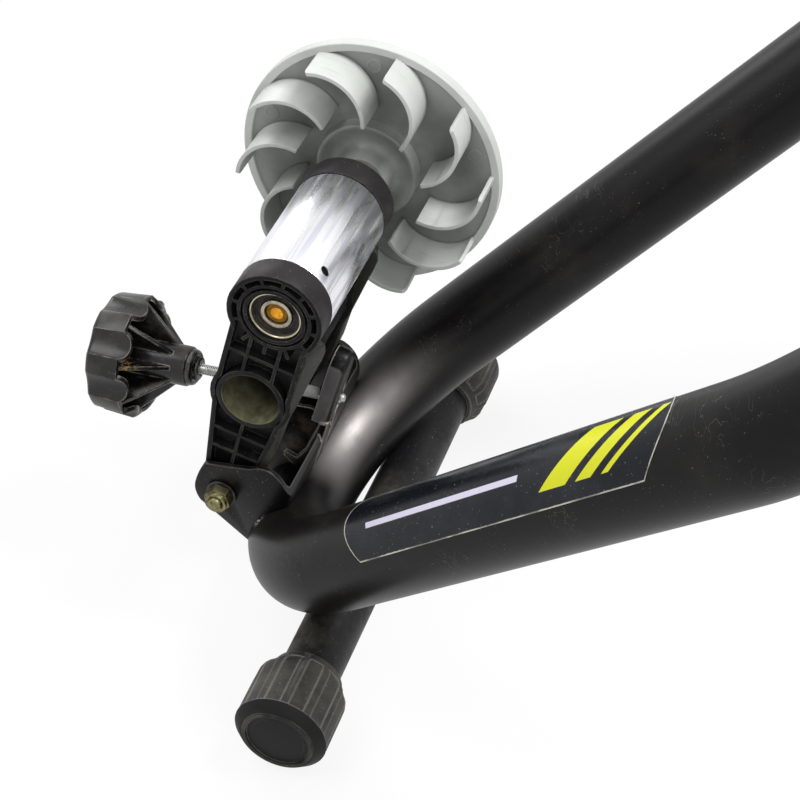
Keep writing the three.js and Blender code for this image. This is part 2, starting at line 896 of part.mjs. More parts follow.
function bearingOuterRing() {
  const outer = bearingRadius;
  const shield = raceOuterRadius + seatGap;
  const profile = [
    [bearingInnerX, shield],
    [bearingInnerX, outer],
    [bearingOuterX, outer],
    [bearingOuterX, outer - shieldDepth * 2],
    [bearingOuterX - shieldDepth / 2, outer - shieldDepth * 2],
    [bearingOuterX - shieldDepth / 2, shield],
    [bearingInnerX, shield],
  ];
  return turned(profile, 32);
}

function bearingInnerRing() {
  const profile = [
    [bearingInnerX, shaftRadius + seatGap],
    [bearingInnerX, raceOuterRadius],
    [bearingOuterX, raceOuterRadius],
    [bearingOuterX, shaftRadius + seatGap],
    [bearingInnerX, shaftRadius + seatGap],
  ];
  return turned(profile, 24);
}

// Rotor, drawn about the roller's axis

function radialRod(radius, from, to) {
  const rod = slabZ(circleShape(radius, 12), from, to);
  return moved(turnedBy(rod, -setScrewAngle), setScrewX, 0, 0);
}

function roller() {
  const profile = [
    [-rollerHalfLength, shaftRadius + seatGap],
    [-rollerHalfLength, rollerRadius - rollerEdge],
    [-rollerHalfLength + rollerEdge, rollerRadius],
    [rollerHalfLength - rollerEdge, rollerRadius],
    [rollerHalfLength, rollerRadius - rollerEdge],
    [rollerHalfLength, shaftRadius + seatGap],
    [-rollerHalfLength, shaftRadius + seatGap],
  ];
  return turned(profile, 36).subtract(radialRod(setScrewRadius + seatGap, 0, rollerRadius + cutOverrun));
}

function rollerSetScrew() {
  const outer = rollerRadius - setScrewSunk;
  return radialRod(setScrewRadius, outer - setScrewLength, outer);
}

const fanBack = fanDiscFace + fanDiscThickness;
const fanNutStart = fanBack + seatGap + fanWasherThickness + seatGap;

function rollerShaft() {
  const rightEnd = plateOuter - shaftEndRecess;
  const leftEnd = fanNutStart + fanNutHeight + fanThreadTail;
  const profile = [
    [rightEnd - shaftDimpleDepth, 0],
    [rightEnd, shaftDimpleRadius],
    [rightEnd, shaftRadius - shaftDimpleDepth / 2],
    [rightEnd - shaftDimpleDepth / 2, shaftRadius],
    [-fanShoulderX, shaftRadius],
    [-fanShoulderX, fanSeatRadius],
    [-leftEnd, fanSeatRadius],
    [-leftEnd, 0],
  ];
  return turned(profile, 24);
}

function fanBlade() {
  const outline = [];
  const inner = [];
  const half = bladeThickness / 2;
  for (let i = 0; i <= bladeStepCount; i += 1) {
    const angle = (bladeStartAngle + ((bladeEndAngle - bladeStartAngle) * i) / bladeStepCount) * degree;
    const [c, s] = [Math.cos(angle), Math.sin(angle)];
    outline.push(new THREE.Vector2(
      bladeArcForward + (bladeArcRadius + half) * c,
      bladeArcSide + (bladeArcRadius + half) * s,
    ));
    inner.unshift(new THREE.Vector2(
      bladeArcForward + (bladeArcRadius - half) * c,
      bladeArcSide + (bladeArcRadius - half) * s,
    ));
  }
  return slabX(new THREE.Shape([...outline, ...inner]), -fanDiscFace - bladeRoot, -fanBladeFace);
}

function fan() {
  const bore = fanSeatRadius + seatGap;
  const profile = [
    [-fanBack, bore],
    [-fanBossFace, bore],
    [-fanBossFace, fanBossRadius],
    [-fanDishFace, fanDishRadius],
    [-fanHubStepFace, fanHubStepRadius - bladeThickness],
    [-fanHubStepFace, fanHubStepRadius],
    [-fanDiscFace, fanHubStepRadius],
    [-fanDiscFace, fanRimInnerRadius],
    [-fanRimFace, fanRimInnerRadius],
    [-fanRimFace, fanRadius],
    [-fanRimBack, fanRadius],
    [-fanRimBack, fanRimInnerRadius],
    [-fanBack, fanRimInnerRadius],
    [-fanBack, bore],
  ];
  const disc = turned(profile, 60);
  const blade = fanBlade();
  const blades = [];
  for (let i = 0; i < bladeCount; i += 1) {
    blades.push(turnedBy(blade, bladePhaseAngle + (i * 360) / bladeCount));
  }
  return joined([disc, ...blades]);
}

function fanWasher() {
  const start = fanBack + seatGap;
  const bore = rodX(fanSeatRadius + seatGap, -start - fanWasherThickness - cutOverrun, -start + cutOverrun);
  return rodX(fanWasherRadius, -start - fanWasherThickness, -start).subtract(bore);
}

function fanNut() {
  const end = -fanNutStart - fanNutHeight;
  const bore = rodX(fanSeatRadius + seatGap, end - cutOverrun, -fanNutStart + cutOverrun);
  return hexPrism(fanNutRadius, end, -fanNutStart).subtract(bore);
}

// Bracket, drawn in the yoke's frame

const earInner = plateOuter + seatGap;
const earOuter = earInner + sheet;
const rodRise = rodRiseAngle * degree;

function channelShape(halfWidth, back, front, bend) {
  const shape = new THREE.Shape();
  shape.moveTo(-halfWidth, back);
  shape.lineTo(-halfWidth, front - bend);
  shape.quadraticCurveTo(-halfWidth, front, -halfWidth + bend, front);
  shape.lineTo(halfWidth - bend, front);
  shape.quadraticCurveTo(halfWidth, front, halfWidth, front - bend);
  shape.lineTo(halfWidth, back);
  shape.lineTo(halfWidth - sheet, back);
  shape.lineTo(halfWidth - sheet, front - bend);
  shape.quadraticCurveTo(halfWidth - sheet, front - sheet, halfWidth - bend, front - sheet);
  shape.lineTo(-halfWidth + bend, front - sheet);
  shape.quadraticCurveTo(-halfWidth + sheet, front - sheet, -halfWidth + sheet, front - bend);
  shape.lineTo(-halfWidth + sheet, back);
  shape.closePath();
  return shape;
}

function earOutline() {
  const front = webFace + cutOverrun;
  const shoulderY = (earHornY + earSlopeY) / 2;
  const shoulderZ = (earHornZ + earSlopeZ) / 2;
  const shape = new THREE.Shape();
  shape.moveTo(-earReach, 0);
  shape.absarc(0, 0, earReach, Math.PI, Math.PI * 1.28, false);
  shape.lineTo(earHeelY, earHeelZ);
  shape.lineTo(webFace, -skirtDrop);
  shape.lineTo(front, -skirtDrop);
  shape.lineTo(front, webTop);
  shape.lineTo(webFace, webTop);
  shape.lineTo(earSlopeY, earSlopeZ);
  shape.quadraticCurveTo(earSlopeY - sheet, earSlopeZ, shoulderY, shoulderZ);
  shape.quadraticCurveTo(earHornY, earHornZ + sheet, earCrestY, earCrestZ);
  shape.quadraticCurveTo(0, (earCrestZ + earBackZ) / 2, earBackY, earBackZ);
  shape.quadraticCurveTo(-earReach, earReach / 2, -earReach, 0);
  return shape;
}

function tongueOutline() {
  const front = webFace + cutOverrun;
  const shape = new THREE.Shape();
  shape.moveTo(tongueFootBack, -skirtDrop);
  shape.lineTo(tongueFootBack, tongueStepZ);
  shape.lineTo(tongueBack, tongueStepZ + tongueStepRise);
  shape.lineTo(tongueBack, tongueTop - tongueTopRadius);
  shape.quadraticCurveTo(tongueBack, tongueTop, tongueBack + tongueTopRadius, tongueTop);
  shape.lineTo(front, tongueTop);
  shape.lineTo(front, -skirtDrop);
  shape.closePath();
  return shape;
}

// The same tube, seen from the yoke's frame
function tubeInUnitFrame() {
  const risen = moved(tubeEnvelope, 0, -pivotForward, -pivotRise);
  return turnedBy(risen, -unitPitchAngle);
}

function unitBracket() {
  const back = -earReach - cutOverrun;
  const low = earHeelZ - cutOverrun;
  const earChannel = slabZ(channelShape(earOuter, back, webFace, sheetBend), low, earHornZ + cutOverrun);
  const ears = earChannel.intersect(slabX(earOutline(), -earOuter - cutOverrun, earOuter + cutOverrun, 10));
  const tongueWall = channelShape(tongueHalfWidth, tongueBack, webFace, sheet + seatGap);
  const tongueReach = tongueHalfWidth + cutOverrun;
  const tongueSide = slabX(tongueOutline(), -tongueReach, tongueReach, 10);
  const tongue = slabZ(tongueWall, low, tongueTop + cutOverrun).intersect(tongueSide);
  const pivotHole = rodX(pivotBoltRadius + seatGap, -earOuter - cutOverrun, earOuter + cutOverrun);
  const slotZ = rodHeight + webFace * Math.tan(rodRise);
  const rodSlot = block(
    -rodRadius - seatGap,
    rodRadius + seatGap,
    tongueBack,
    webFace + cutOverrun,
    slotZ - rodSlotHalfHeight,
    slotZ + rodSlotHalfHeight,
  );
  const whole = cut(ears.add(tongue), [pivotHole, rodSlot, tubeInUnitFrame()]);
  const pieces = whole.decompose();
  pieces.sort((a, b) => b.volume() - a.volume());
  return pieces[0];
}

function pivotBolt() {
  const seat = earOuter + seatGap + pivotWasherThickness + seatGap;
  const end = seat + pivotNutHeight + pivotCollarHeight + pivotTail;
  const head = hexPrism(pivotHeadRadius, -seat - pivotHeadHeight, -seat);
  return rodX(pivotBoltRadius, -seat - seatGap, end).add(head);
}

function pivotNut() {
  const seat = earOuter + seatGap + pivotWasherThickness + seatGap;
  const end = seat + pivotNutHeight + pivotCollarHeight;
  const collar = rodX(pivotCollarRadius, seat + pivotNutHeight - seatGap, end);
  const bore = rodX(pivotBoltRadius + seatGap, seat - cutOverrun, end + cutOverrun);
  return hexPrism(pivotNutRadius, seat, seat + pivotNutHeight).add(collar).subtract(bore);
}

function pivotWasher() {
  const seat = earOuter + seatGap;
  const bore = rodX(pivotBoltRadius + seatGap, seat - cutOverrun, seat + pivotWasherThickness + cutOverrun);
  return rodX(pivotWasherRadius, seat, seat + pivotWasherThickness).subtract(bore);
}

// Knob, drawn along +y with the end of its hub at the origin and its face at -y

function knobShape(inset) {
  const shape = new THREE.Shape();
  const lobes = knobLobeCount;
  const scoop = knobScoopRadius + inset;
  const outer = knobRadius - inset;
  // Half the angle that a scoop takes out of the rim
  const cosine = (outer ** 2 + knobScoopOffset ** 2 - scoop ** 2) / (2 * outer * knobScoopOffset);
  const half = Math.acos(cosine);
  const points = [];
  for (let i = 0; i < lobes; i += 1) {
    const lobe = ((i * 360) / lobes + knobLobePhaseAngle) * degree;
    const valley = lobe + fullTurn / lobes / 2;
    for (const share of [-1, 0, 1]) {
      const angle = lobe + share * (fullTurn / lobes / 2 - half);
      points.push(new THREE.Vector2(outer * Math.cos(angle), outer * Math.sin(angle)));
    }
    const spread = Math.asin((outer * Math.sin(half)) / scoop);
    for (const share of [-2 / 3, -1 / 3, 0, 1 / 3, 2 / 3]) {
      const angle = valley + Math.PI - share * spread;
      points.push(new THREE.Vector2(
        knobScoopOffset * Math.cos(valley) + scoop * Math.cos(angle),
        knobScoopOffset * Math.sin(valley) + scoop * Math.sin(angle),
      ));
    }
  }
  shape.setFromPoints(points);
  return shape;
}

function knob() {
  const shoulder = (knobRimStart + knobRimEnd * 2) / 3;
  const envelope = turned(
    [
      [-knobRimEnd, 0],
      [-knobRimEnd, knobRadius - knobTaper],
      [-shoulder, knobRadius - knobTaper / 4],
      [-knobRimStart, knobRadius + knobWall],
      [-knobRimStart + cutOverrun, knobRadius + knobWall],
      [-knobRimStart + cutOverrun, 0],
    ],
    36,
  ).rotate([0, 0, 90]);
  const rim = slabY(knobShape(0), -knobRimEnd, -knobRimStart).intersect(envelope);
  const cavity = slabY(knobShape(knobWall), -knobRimEnd + knobWall, -knobRimStart + cutOverrun);
  const dome = turned(
    [
      [-knobRimEnd - knobDome, 0],
      [-knobRimEnd - knobDome, knobScoopOffset - knobScoopRadius - knobDome * 2],
      [-knobRimEnd, knobScoopOffset - knobScoopRadius - knobDome / 2],
      [-knobRimEnd + knobWall / 2, knobScoopOffset - knobScoopRadius - knobDome / 2],
      [-knobRimEnd + knobWall / 2, 0],
    ],
    24,
  ).rotate([0, 0, 90]);
  const hub = turned(
    [
      [-knobRimEnd + knobWall / 2, 0],
      [-knobRimEnd + knobWall / 2, knobHubRadius],
      [-knobHubChamfer, knobHubRadius],
      [0, knobHubRadius - knobHubChamfer],
      [0, 0],
    ],
    24,
  ).rotate([0, 0, 90]);
  const gussets = [];
  const gusset = new THREE.Shape();
  gusset.moveTo(0, -knobGussetStart);
  gusset.lineTo(knobHubRadius, -knobGussetStart);
  gusset.lineTo(knobRadius - knobWall, -knobRimStart);
  gusset.lineTo(knobRadius - knobWall / 2, -knobRimEnd + knobWall / 2);
  gusset.lineTo(0, -knobRimEnd + knobWall / 2);
  gusset.closePath();
  const plate = slabZ(gusset, -knobGussetThickness / 2, knobGussetThickness / 2);
  for (let i = 0; i < knobLobeCount; i += 1) {
    gussets.push(plate.rotate([0, -((i * 360) / knobLobeCount + knobLobePhaseAngle), 0]));
  }
  const socket = rodY(rodRadius + seatGap, -rodHubDepth - seatGap, cutOverrun, 16);
  return joined([rim.subtract(cavity), dome, hub, ...gussets]).subtract(socket);
}

// The rod's nut sits between the tongue's walls, against the back of its face
const rodNutBack = webFace - sheet - seatGap;
const rodNutEnd = knobStandOff + (rodNutBack - rodNutRadius * Math.sin(rodRise)) / Math.cos(rodRise);
const rodEnd = knobStandOff + (webFace + rodTail) / Math.cos(rodRise);

function threadedRod() {
  return rodY(rodRadius, -rodHubDepth, rodEnd, 16);
}

function knobWasher() {
  const bore = rodY(rodRadius + seatGap, 0, knobWasherThickness + cutOverrun, 16);
  return rodY(knobWasherRadius, seatGap, seatGap + knobWasherThickness).subtract(bore);
}

function rodNut() {
  const start = rodNutEnd - rodNutHeight;
  const hole = rodY(rodRadius + seatGap, start - cutOverrun, rodNutEnd + cutOverrun, 16);
  return slabY(circleShape(rodNutRadius, 6, Math.PI / 6), start, rodNutEnd).subtract(hole);
}

// Scene graph

const materials = {};
for (const [name, finish] of Object.entries(finishes)) {
  materials[name] = new THREE.MeshStandardMaterial(finish);
}

function piece(name, body, finish) {
  const mesh = new THREE.Mesh(geometryOf(body), materials[finish].clone());
  mesh.name = name;
  return mesh;
}

function sidePair(name, body, finish) {
  return [piece(`${name}_right`, body, finish), piece(`${name}_left`, mirroredX(body), finish)];
}

const trainer = new THREE.Group();

// Everything that is drawn in the plane of the U
const framePlane = new THREE.Group();
framePlane.rotation.x = tilt;
framePlane.position.z = frameLift;
trainer.add(framePlane);
framePlane.add(piece('main_frame', mainFrame(), 'blackPaint'));

const crosstubeLevel = new THREE.Group();
crosstubeLevel.position.z = -crosstubeDrop;
framePlane.add(crosstubeLevel);
crosstubeLevel.add(piece('rear_crosstube', rearCrosstube(), 'crosstubePaint'));

const footRoll = turnedBy(rubberFoot(), 180 / footFluteCount - frameTiltAngle);
crosstubeLevel.add(...sidePair('rear_foot', footRoll, 'rubber'));

const plug = tubePlug().rotate([0, 0, 90]);
for (const side of [1, -1]) {
  const cap = piece(side > 0 ? 'arm_plug_right' : 'arm_plug_left', plug, 'blackPlastic');
  cap.position.set(side * armTopX, armReach + seatGap, 0);
  framePlane.add(cap);
}

// Leg pivots, stops and axle clamps along the arms
const legPivot = new THREE.Group();
legPivot.position.y = legPivotReach;
framePlane.add(legPivot);
legPivot.add(...sidePair('leg_bolt', legBolt(), 'zinc'));
legPivot.add(...sidePair('leg_nut', legNut(), 'zinc'));
legPivot.add(...sidePair('leg_washer', legWasher(), 'steel'));

const legStops = new THREE.Group();
legStops.position.set(0, stopPlace.y, stopPlace.z);
framePlane.add(legStops);
legStops.add(...sidePair('leg_stop', legStop(), 'steel'));

const axleLine = new THREE.Group();
axleLine.position.y = axleReach;
framePlane.add(axleLine);
axleLine.add(piece('clamp_sleeve_right', clampSleeve(), 'blackPaint'));
axleLine.add(piece('axle_cup_right', rightCup(), 'steel'));
axleLine.add(piece('adjust_screw', adjustScrew(), 'steel'));
axleLine.add(piece('adjust_handle', adjustHandle(), 'blackPlastic'));
axleLine.add(piece('clamp_housing_left', mirroredX(clampHousing()), 'blackPaint'));
axleLine.add(piece('axle_cup_left', mirroredX(leftCup()), 'steel'));
axleLine.add(piece('lever_pin', mirroredX(leverPin()), 'steel'));
axleLine.add(piece('clamp_lever', mirroredX(clampLever()), 'steel'));
axleLine.add(piece('lever_grip', mirroredX(leverGrip()), 'blackPlastic'));

// Folding leg
const leg = new THREE.Group();
leg.position.set(0, legPivotReach * Math.cos(tilt), legPivotHeight);
leg.rotation.x = -legDropAngle;
trainer.add(leg);
leg.add(piece('front_leg', frontLeg(), 'blackPaint'));
const legFootRoll = turnedBy(legFoot(), 180 / footFluteCount + legDropAngle / degree);
for (const side of [1, -1]) {
  const foot = piece(side > 0 ? 'front_foot_right' : 'front_foot_left', legFootRoll, 'rubber');
  foot.position.set(side * legFootX, legLength, 0);
  leg.add(foot);
}

// Resistance unit
const unit = new THREE.Group();
unit.position.set(0, pivotForward, pivotRise);
unit.rotation.x = unitPitchAngle * degree;
framePlane.add(unit);
unit.add(piece('unit_bracket', unitBracket(), 'blackPaint'));
unit.add(piece('yoke', yoke(), 'blackPlastic'));
unit.add(piece('pivot_sleeve', yokeSleeve(), 'steel'));
unit.add(piece('pivot_bolt', pivotBolt(), 'zinc'));
unit.add(piece('pivot_nut', pivotNut(), 'zinc'));
unit.add(...sidePair('pivot_washer', pivotWasher(), 'zinc'));

const rotor = new THREE.Group();
rotor.position.z = yokeLength;
unit.add(rotor);
rotor.add(...sidePair('bearing_outer', bearingOuterRing(), 'steel'));
rotor.add(...sidePair('bearing_inner', bearingInnerRing(), 'steel'));
rotor.add(piece('roller', roller(), 'aluminium'));
rotor.add(piece('roller_set_screw', rollerSetScrew(), 'steel'));
rotor.add(piece('roller_shaft', rollerShaft(), 'shaftEnd'));
rotor.add(piece('fan', fan(), 'greyMoulding'));
rotor.add(piece('fan_washer', fanWasher(), 'zinc'));
rotor.add(piece('fan_nut', fanNut(), 'zinc'));

const rodLine = new THREE.Group();
rodLine.position.set(0, -knobStandOff * Math.cos(rodRise), rodHeight - knobStandOff * Math.sin(rodRise));
rodLine.rotation.x = rodRise;
unit.add(rodLine);
rodLine.add(piece('tension_knob', knob(), 'glossPlastic'));
rodLine.add(piece('threaded_rod', threadedRod(), 'steel'));
rodLine.add(piece('knob_washer', knobWasher(), 'steel'));
rodLine.add(piece('rod_nut', rodNut(), 'steel'));

// The origin is on the floor, under the middle of the trainer's length
trainer.updateMatrixWorld(true);
const extent = new THREE.Box3().setFromObject(trainer, true);
trainer.position.y = -(extent.min.y + extent.max.y) / 2;
trainer.position.x = -(extent.min.x + extent.max.x) / 2;
trainer.updateMatrixWorld(true);

export default trainer;
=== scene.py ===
from math import acos, asin, atan2, cos, degrees, hypot, pi, radians, sin, sqrt, tan, tau

import bpy
from mathutils import Matrix, Vector


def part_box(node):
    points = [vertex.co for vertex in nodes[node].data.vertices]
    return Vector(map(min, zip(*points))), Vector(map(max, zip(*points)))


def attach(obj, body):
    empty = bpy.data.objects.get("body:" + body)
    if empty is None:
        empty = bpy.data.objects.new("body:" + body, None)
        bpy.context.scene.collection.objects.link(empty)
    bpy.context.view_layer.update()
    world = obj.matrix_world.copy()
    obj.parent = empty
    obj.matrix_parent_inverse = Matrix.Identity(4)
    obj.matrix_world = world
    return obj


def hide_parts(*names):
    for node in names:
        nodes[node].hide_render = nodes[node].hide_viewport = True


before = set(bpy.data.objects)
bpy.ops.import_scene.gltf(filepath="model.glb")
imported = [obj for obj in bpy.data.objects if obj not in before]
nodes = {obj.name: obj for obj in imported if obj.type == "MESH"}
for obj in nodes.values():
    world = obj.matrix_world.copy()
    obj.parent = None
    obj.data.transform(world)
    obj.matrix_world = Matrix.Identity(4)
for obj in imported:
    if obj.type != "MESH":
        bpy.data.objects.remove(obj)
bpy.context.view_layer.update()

# Places. Pieces are drawn in millimetres in the place of the part that carries them

millimetre = 0.001
alongX = Matrix(((0, 0, 1, 0), (1, 0, 0, 0), (0, 1, 0, 0), (0, 0, 0, 1)))  # drawn along z, laid along x


def turnX(degrees):
    return Matrix.Rotation(radians(degrees), 4, "X")


def turnZ(degrees):
    return Matrix.Rotation(radians(degrees), 4, "Z")


def shift(x, y, z):
    return Matrix.Translation((x, y, z))


alongY = turnX(-90)  # drawn along z, laid along y
tilt = 41
crosstubeDrop = 41.6
unitBack = 7.8
unitRise = 48.85
unitPitch = -60
yokeLength = 127.9
rodHeight = 33.1
rodRise = 16.1
rodStandOff = 45.1

crosstubeLow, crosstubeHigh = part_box("rear_crosstube")
crosstubeMiddle = Matrix.Translation((crosstubeLow + crosstubeHigh) / 2)
crosstubePlace = crosstubeMiddle @ turnX(tilt) @ Matrix.Scale(millimetre, 4)
framePlace = crosstubePlace @ shift(0, 0, crosstubeDrop)
unitPlace = framePlace @ shift(0, -unitBack, unitRise) @ turnX(unitPitch)
rotorPlace = unitPlace @ shift(0, 0, yokeLength)
rodAngle = radians(rodRise)
rodY = -rodStandOff * cos(rodAngle)
rodZ = rodHeight - rodStandOff * sin(rodAngle)
rodPlace = unitPlace @ shift(0, rodY, rodZ) @ turnX(rodRise)


# Modelling helpers


def deselectAll():
    bpy.ops.object.select_all(action="DESELECT")


def takeUp(piece):
    deselectAll()
    piece.select_set(True)
    bpy.context.view_layer.objects.active = piece


def openEdit(piece):
    takeUp(piece)
    bpy.ops.object.mode_set(mode="EDIT")
    bpy.ops.mesh.select_mode(type="VERT")


def closeEdit():
    bpy.ops.object.mode_set(mode="OBJECT")


def pickAll(on=True):
    bpy.ops.mesh.select_all(action="SELECT" if on else "DESELECT")


def pick(kind, piece, wanted):
    # chooses vertices, edges or faces by their place, from edit mode
    bpy.ops.mesh.select_mode(type=kind)
    pickAll(False)
    closeEdit()
    points = piece.data.vertices
    if kind == "VERT":
        items = [(vert, [vert.co]) for vert in points]
    elif kind == "EDGE":
        items = [(edge, [points[i].co for i in edge.vertices]) for edge in piece.data.edges]
    else:
        items = [(face, [face.center]) for face in piece.data.polygons]
    for item, places in items:
        item.select = wanted(*places)
    bpy.ops.object.mode_set(mode="EDIT")


def named(piece, name):
    piece.name = name
    piece.data.name = name
    return piece


def startRing(name, radius, sides, place, rotation=(0, 0, 0)):
    # a ring, left in edit mode
    deselectAll()
    bpy.ops.mesh.primitive_circle_add(vertices=sides, radius=radius, location=place, rotation=rotation)
    piece = named(bpy.context.object, name)
    bpy.ops.object.transform_apply(location=True, rotation=True, scale=True)
    openEdit(piece)
    pickAll()
    return piece


def startPoint(name, place):
    # one vertex, left in edit mode
    deselectAll()
    bpy.ops.mesh.primitive_plane_add(size=1)
    piece = named(bpy.context.object, name)
    openEdit(piece)
    pickAll()
    bpy.ops.mesh.merge(type="CENTER")
    bpy.ops.transform.translate(value=place)
    return piece


def extrude(x, y, z):
    bpy.ops.mesh.extrude_region_move(TRANSFORM_OT_translate={"value": (x, y, z)})


def spin(degrees, steps, x, y):
    bpy.ops.mesh.spin(steps=steps, angle=-radians(degrees), center=(x, y, 0), axis=(0, 0, -1))


def closeFacingOut():
    pickAll()
    bpy.ops.mesh.remove_doubles(threshold=0.0005)
    bpy.ops.mesh.normals_make_consistent(inside=False)
    closeEdit()


def turned(name, profile, sides, bore=False):
    # a profile of (height, radius) pairs round the z axis
    piece = startRing(name, profile[0][1], sides, (0, 0, profile[0][0]))
    for (height, radius), (nextHeight, nextRadius) in zip(profile, profile[1:]):
        extrude(0, 0, nextHeight - height)
        swell = nextRadius / radius
        if abs(swell - 1) > 1e-6:
            bpy.ops.transform.resize(value=(swell, swell, 1), center_override=(0, 0, nextHeight))
    pickAll(False)
    bpy.ops.mesh.select_non_manifold()
    if bore:
        bpy.ops.mesh.bridge_edge_loops()
    else:
        bpy.ops.mesh.fill_holes(sides=0)
    closeFacingOut()
    return piece


def traced(name, points, bottom, top):
    # an outline of (x, y) points, thick along z
    piece = startPoint(name, (*points[0], bottom))
    for (x, y), (nextX, nextY) in zip(points, points[1:]):
        extrude(nextX - x, nextY - y, 0)
    pickAll()
    bpy.ops.mesh.edge_face_add()
    extrude(0, 0, top - bottom)
    closeFacingOut()
    return piece


def added(piece, kind, settings):
    modifier = piece.modifiers.new(kind.title(), kind)
    for key, value in settings.items():
        setattr(modifier, key, value)
    return modifier


def applied(piece, kind, settings):
    takeUp(piece)
    bpy.ops.object.modifier_apply(modifier=added(piece, kind, settings).name)
    return piece


def bevelled(width, segments, angle):
    limit = {"limit_method": "ANGLE", "angle_limit": radians(angle)}
    return {"width": width, "segments": segments, **limit}


def softened(piece, width, angle, segments=2):
    return applied(piece, "BEVEL", bevelled(width, segments, angle))


def smoothed(piece, angle=30):
    takeUp(piece)
    bpy.ops.object.shade_smooth_by_angle(angle=radians(angle))
    return piece


def carved(piece, tool, operation="DIFFERENCE"):
    applied(piece, "BOOLEAN", {"object": tool, "operation": operation, "solver": "EXACT"})
    bpy.data.objects.remove(tool, do_unlink=True)
    return piece


def copied(piece, name, place):
    copy = piece.copy()
    copy.data = piece.data.copy()
    bpy.context.scene.collection.objects.link(copy)
    copy.data.transform(place)
    return named(copy, name)


def copiedRound(piece, count, phase):
    # copies of a piece round the z axis, in its stead
    name = piece.name
    copies = [copied(piece, f"{name}_{i}", turnZ(phase + 360 * i / count)) for i in range(count)]
    bpy.data.objects.remove(piece, do_unlink=True)
    return copies


def united(name, parts):
    deselectAll()
    for part in parts:
        part.select_set(True)
    bpy.context.view_layer.objects.active = parts[0]
    bpy.ops.object.join()
    return named(bpy.context.object, name)


def mirrored(piece, name, axis="X"):
    # the same piece on the other side, turned right side out again
    scale = {"X": (-1, 1, 1), "Z": (1, 1, -1)}[axis]
    copy = copied(piece, name, Matrix.Diagonal((*scale, 1)))
    copy.data.flip_normals()
    return copy


def arc(centre, radius, start, end, steps):
    points = []
    for i in range(steps + 1):
        angle = radians(start + (end - start) * i / steps)
        points.append((centre[0] + radius * cos(angle), centre[1] + radius * sin(angle)))
    return points


def settle(piece, place, body, finish, replaces=()):
    # puts a finished piece into the object, at its real size
    takeUp(piece)
    piece.matrix_world = place
    bpy.ops.object.transform_apply(location=True, rotation=True, scale=True)
    piece.data.materials.clear()
    piece.data.materials.append(finishes[finish])
    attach(piece, body)
    if replaces:
        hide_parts(*replaces)


# Finishes


def colour(text):
    channels = [int(text[i : i + 2], 16) / 255 for i in (0, 2, 4)]
    linear = [c / 12.92 if c <= 0.04045 else ((c + 0.055) / 1.055) ** 2.4 for c in channels]
    return (*linear, 1)


class Wire:
    # a socket that can be used in a sum
    def __init__(self, wiring, socket):
        self.wiring = wiring
        self.socket = socket

    def __add__(self, other):
        return self.wiring.sum("ADD", self, other)

    def __radd__(self, other):
        return self.wiring.sum("ADD", other, self)

    def __sub__(self, other):
        return self.wiring.sum("SUBTRACT", self, other)

    def __rsub__(self, other):
        return self.wiring.sum("SUBTRACT", other, self)

    def __mul__(self, other):
        return self.wiring.sum("MULTIPLY", self, other)

    def __rmul__(self, other):
        return self.wiring.sum("MULTIPLY", other, self)

    def __abs__(self):
        return self.wiring.sum("ABSOLUTE", self)


class Wiring:
    # the nodes of one material or world
    def __init__(self, tree):
        self.tree = tree

    def node(self, kind, settings=None, sockets=None, output=0):
        made = self.tree.nodes.new(kind)
        for key, value in (settings or {}).items():
            setattr(made, key, value)
        for key, value in (sockets or {}).items():
            self.plug(value, made.inputs[key])
        return Wire(self, made.outputs[output]) if made.outputs else made

    def plug(self, value, socket):
        if isinstance(value, Wire):
            self.tree.links.new(value.socket, socket)
        else:
            socket.default_value = colour(value) if isinstance(value, str) else value

    def sum(self, operation, first, second=0.0):
        return self.node("ShaderNodeMath", {"operation": operation}, {0: first, 1: second})

    def seen(self):
        # 1 for what the camera sees, straight on, mirrored or through something
        names = ("Is Camera Ray", "Is Glossy Ray", "Is Transmission Ray")
        straight, mirror, through = [self.node("ShaderNodeLightPath", output=name) for name in names]
        return self.sum("MAXIMUM", self.sum("MAXIMUM", straight, mirror), through)


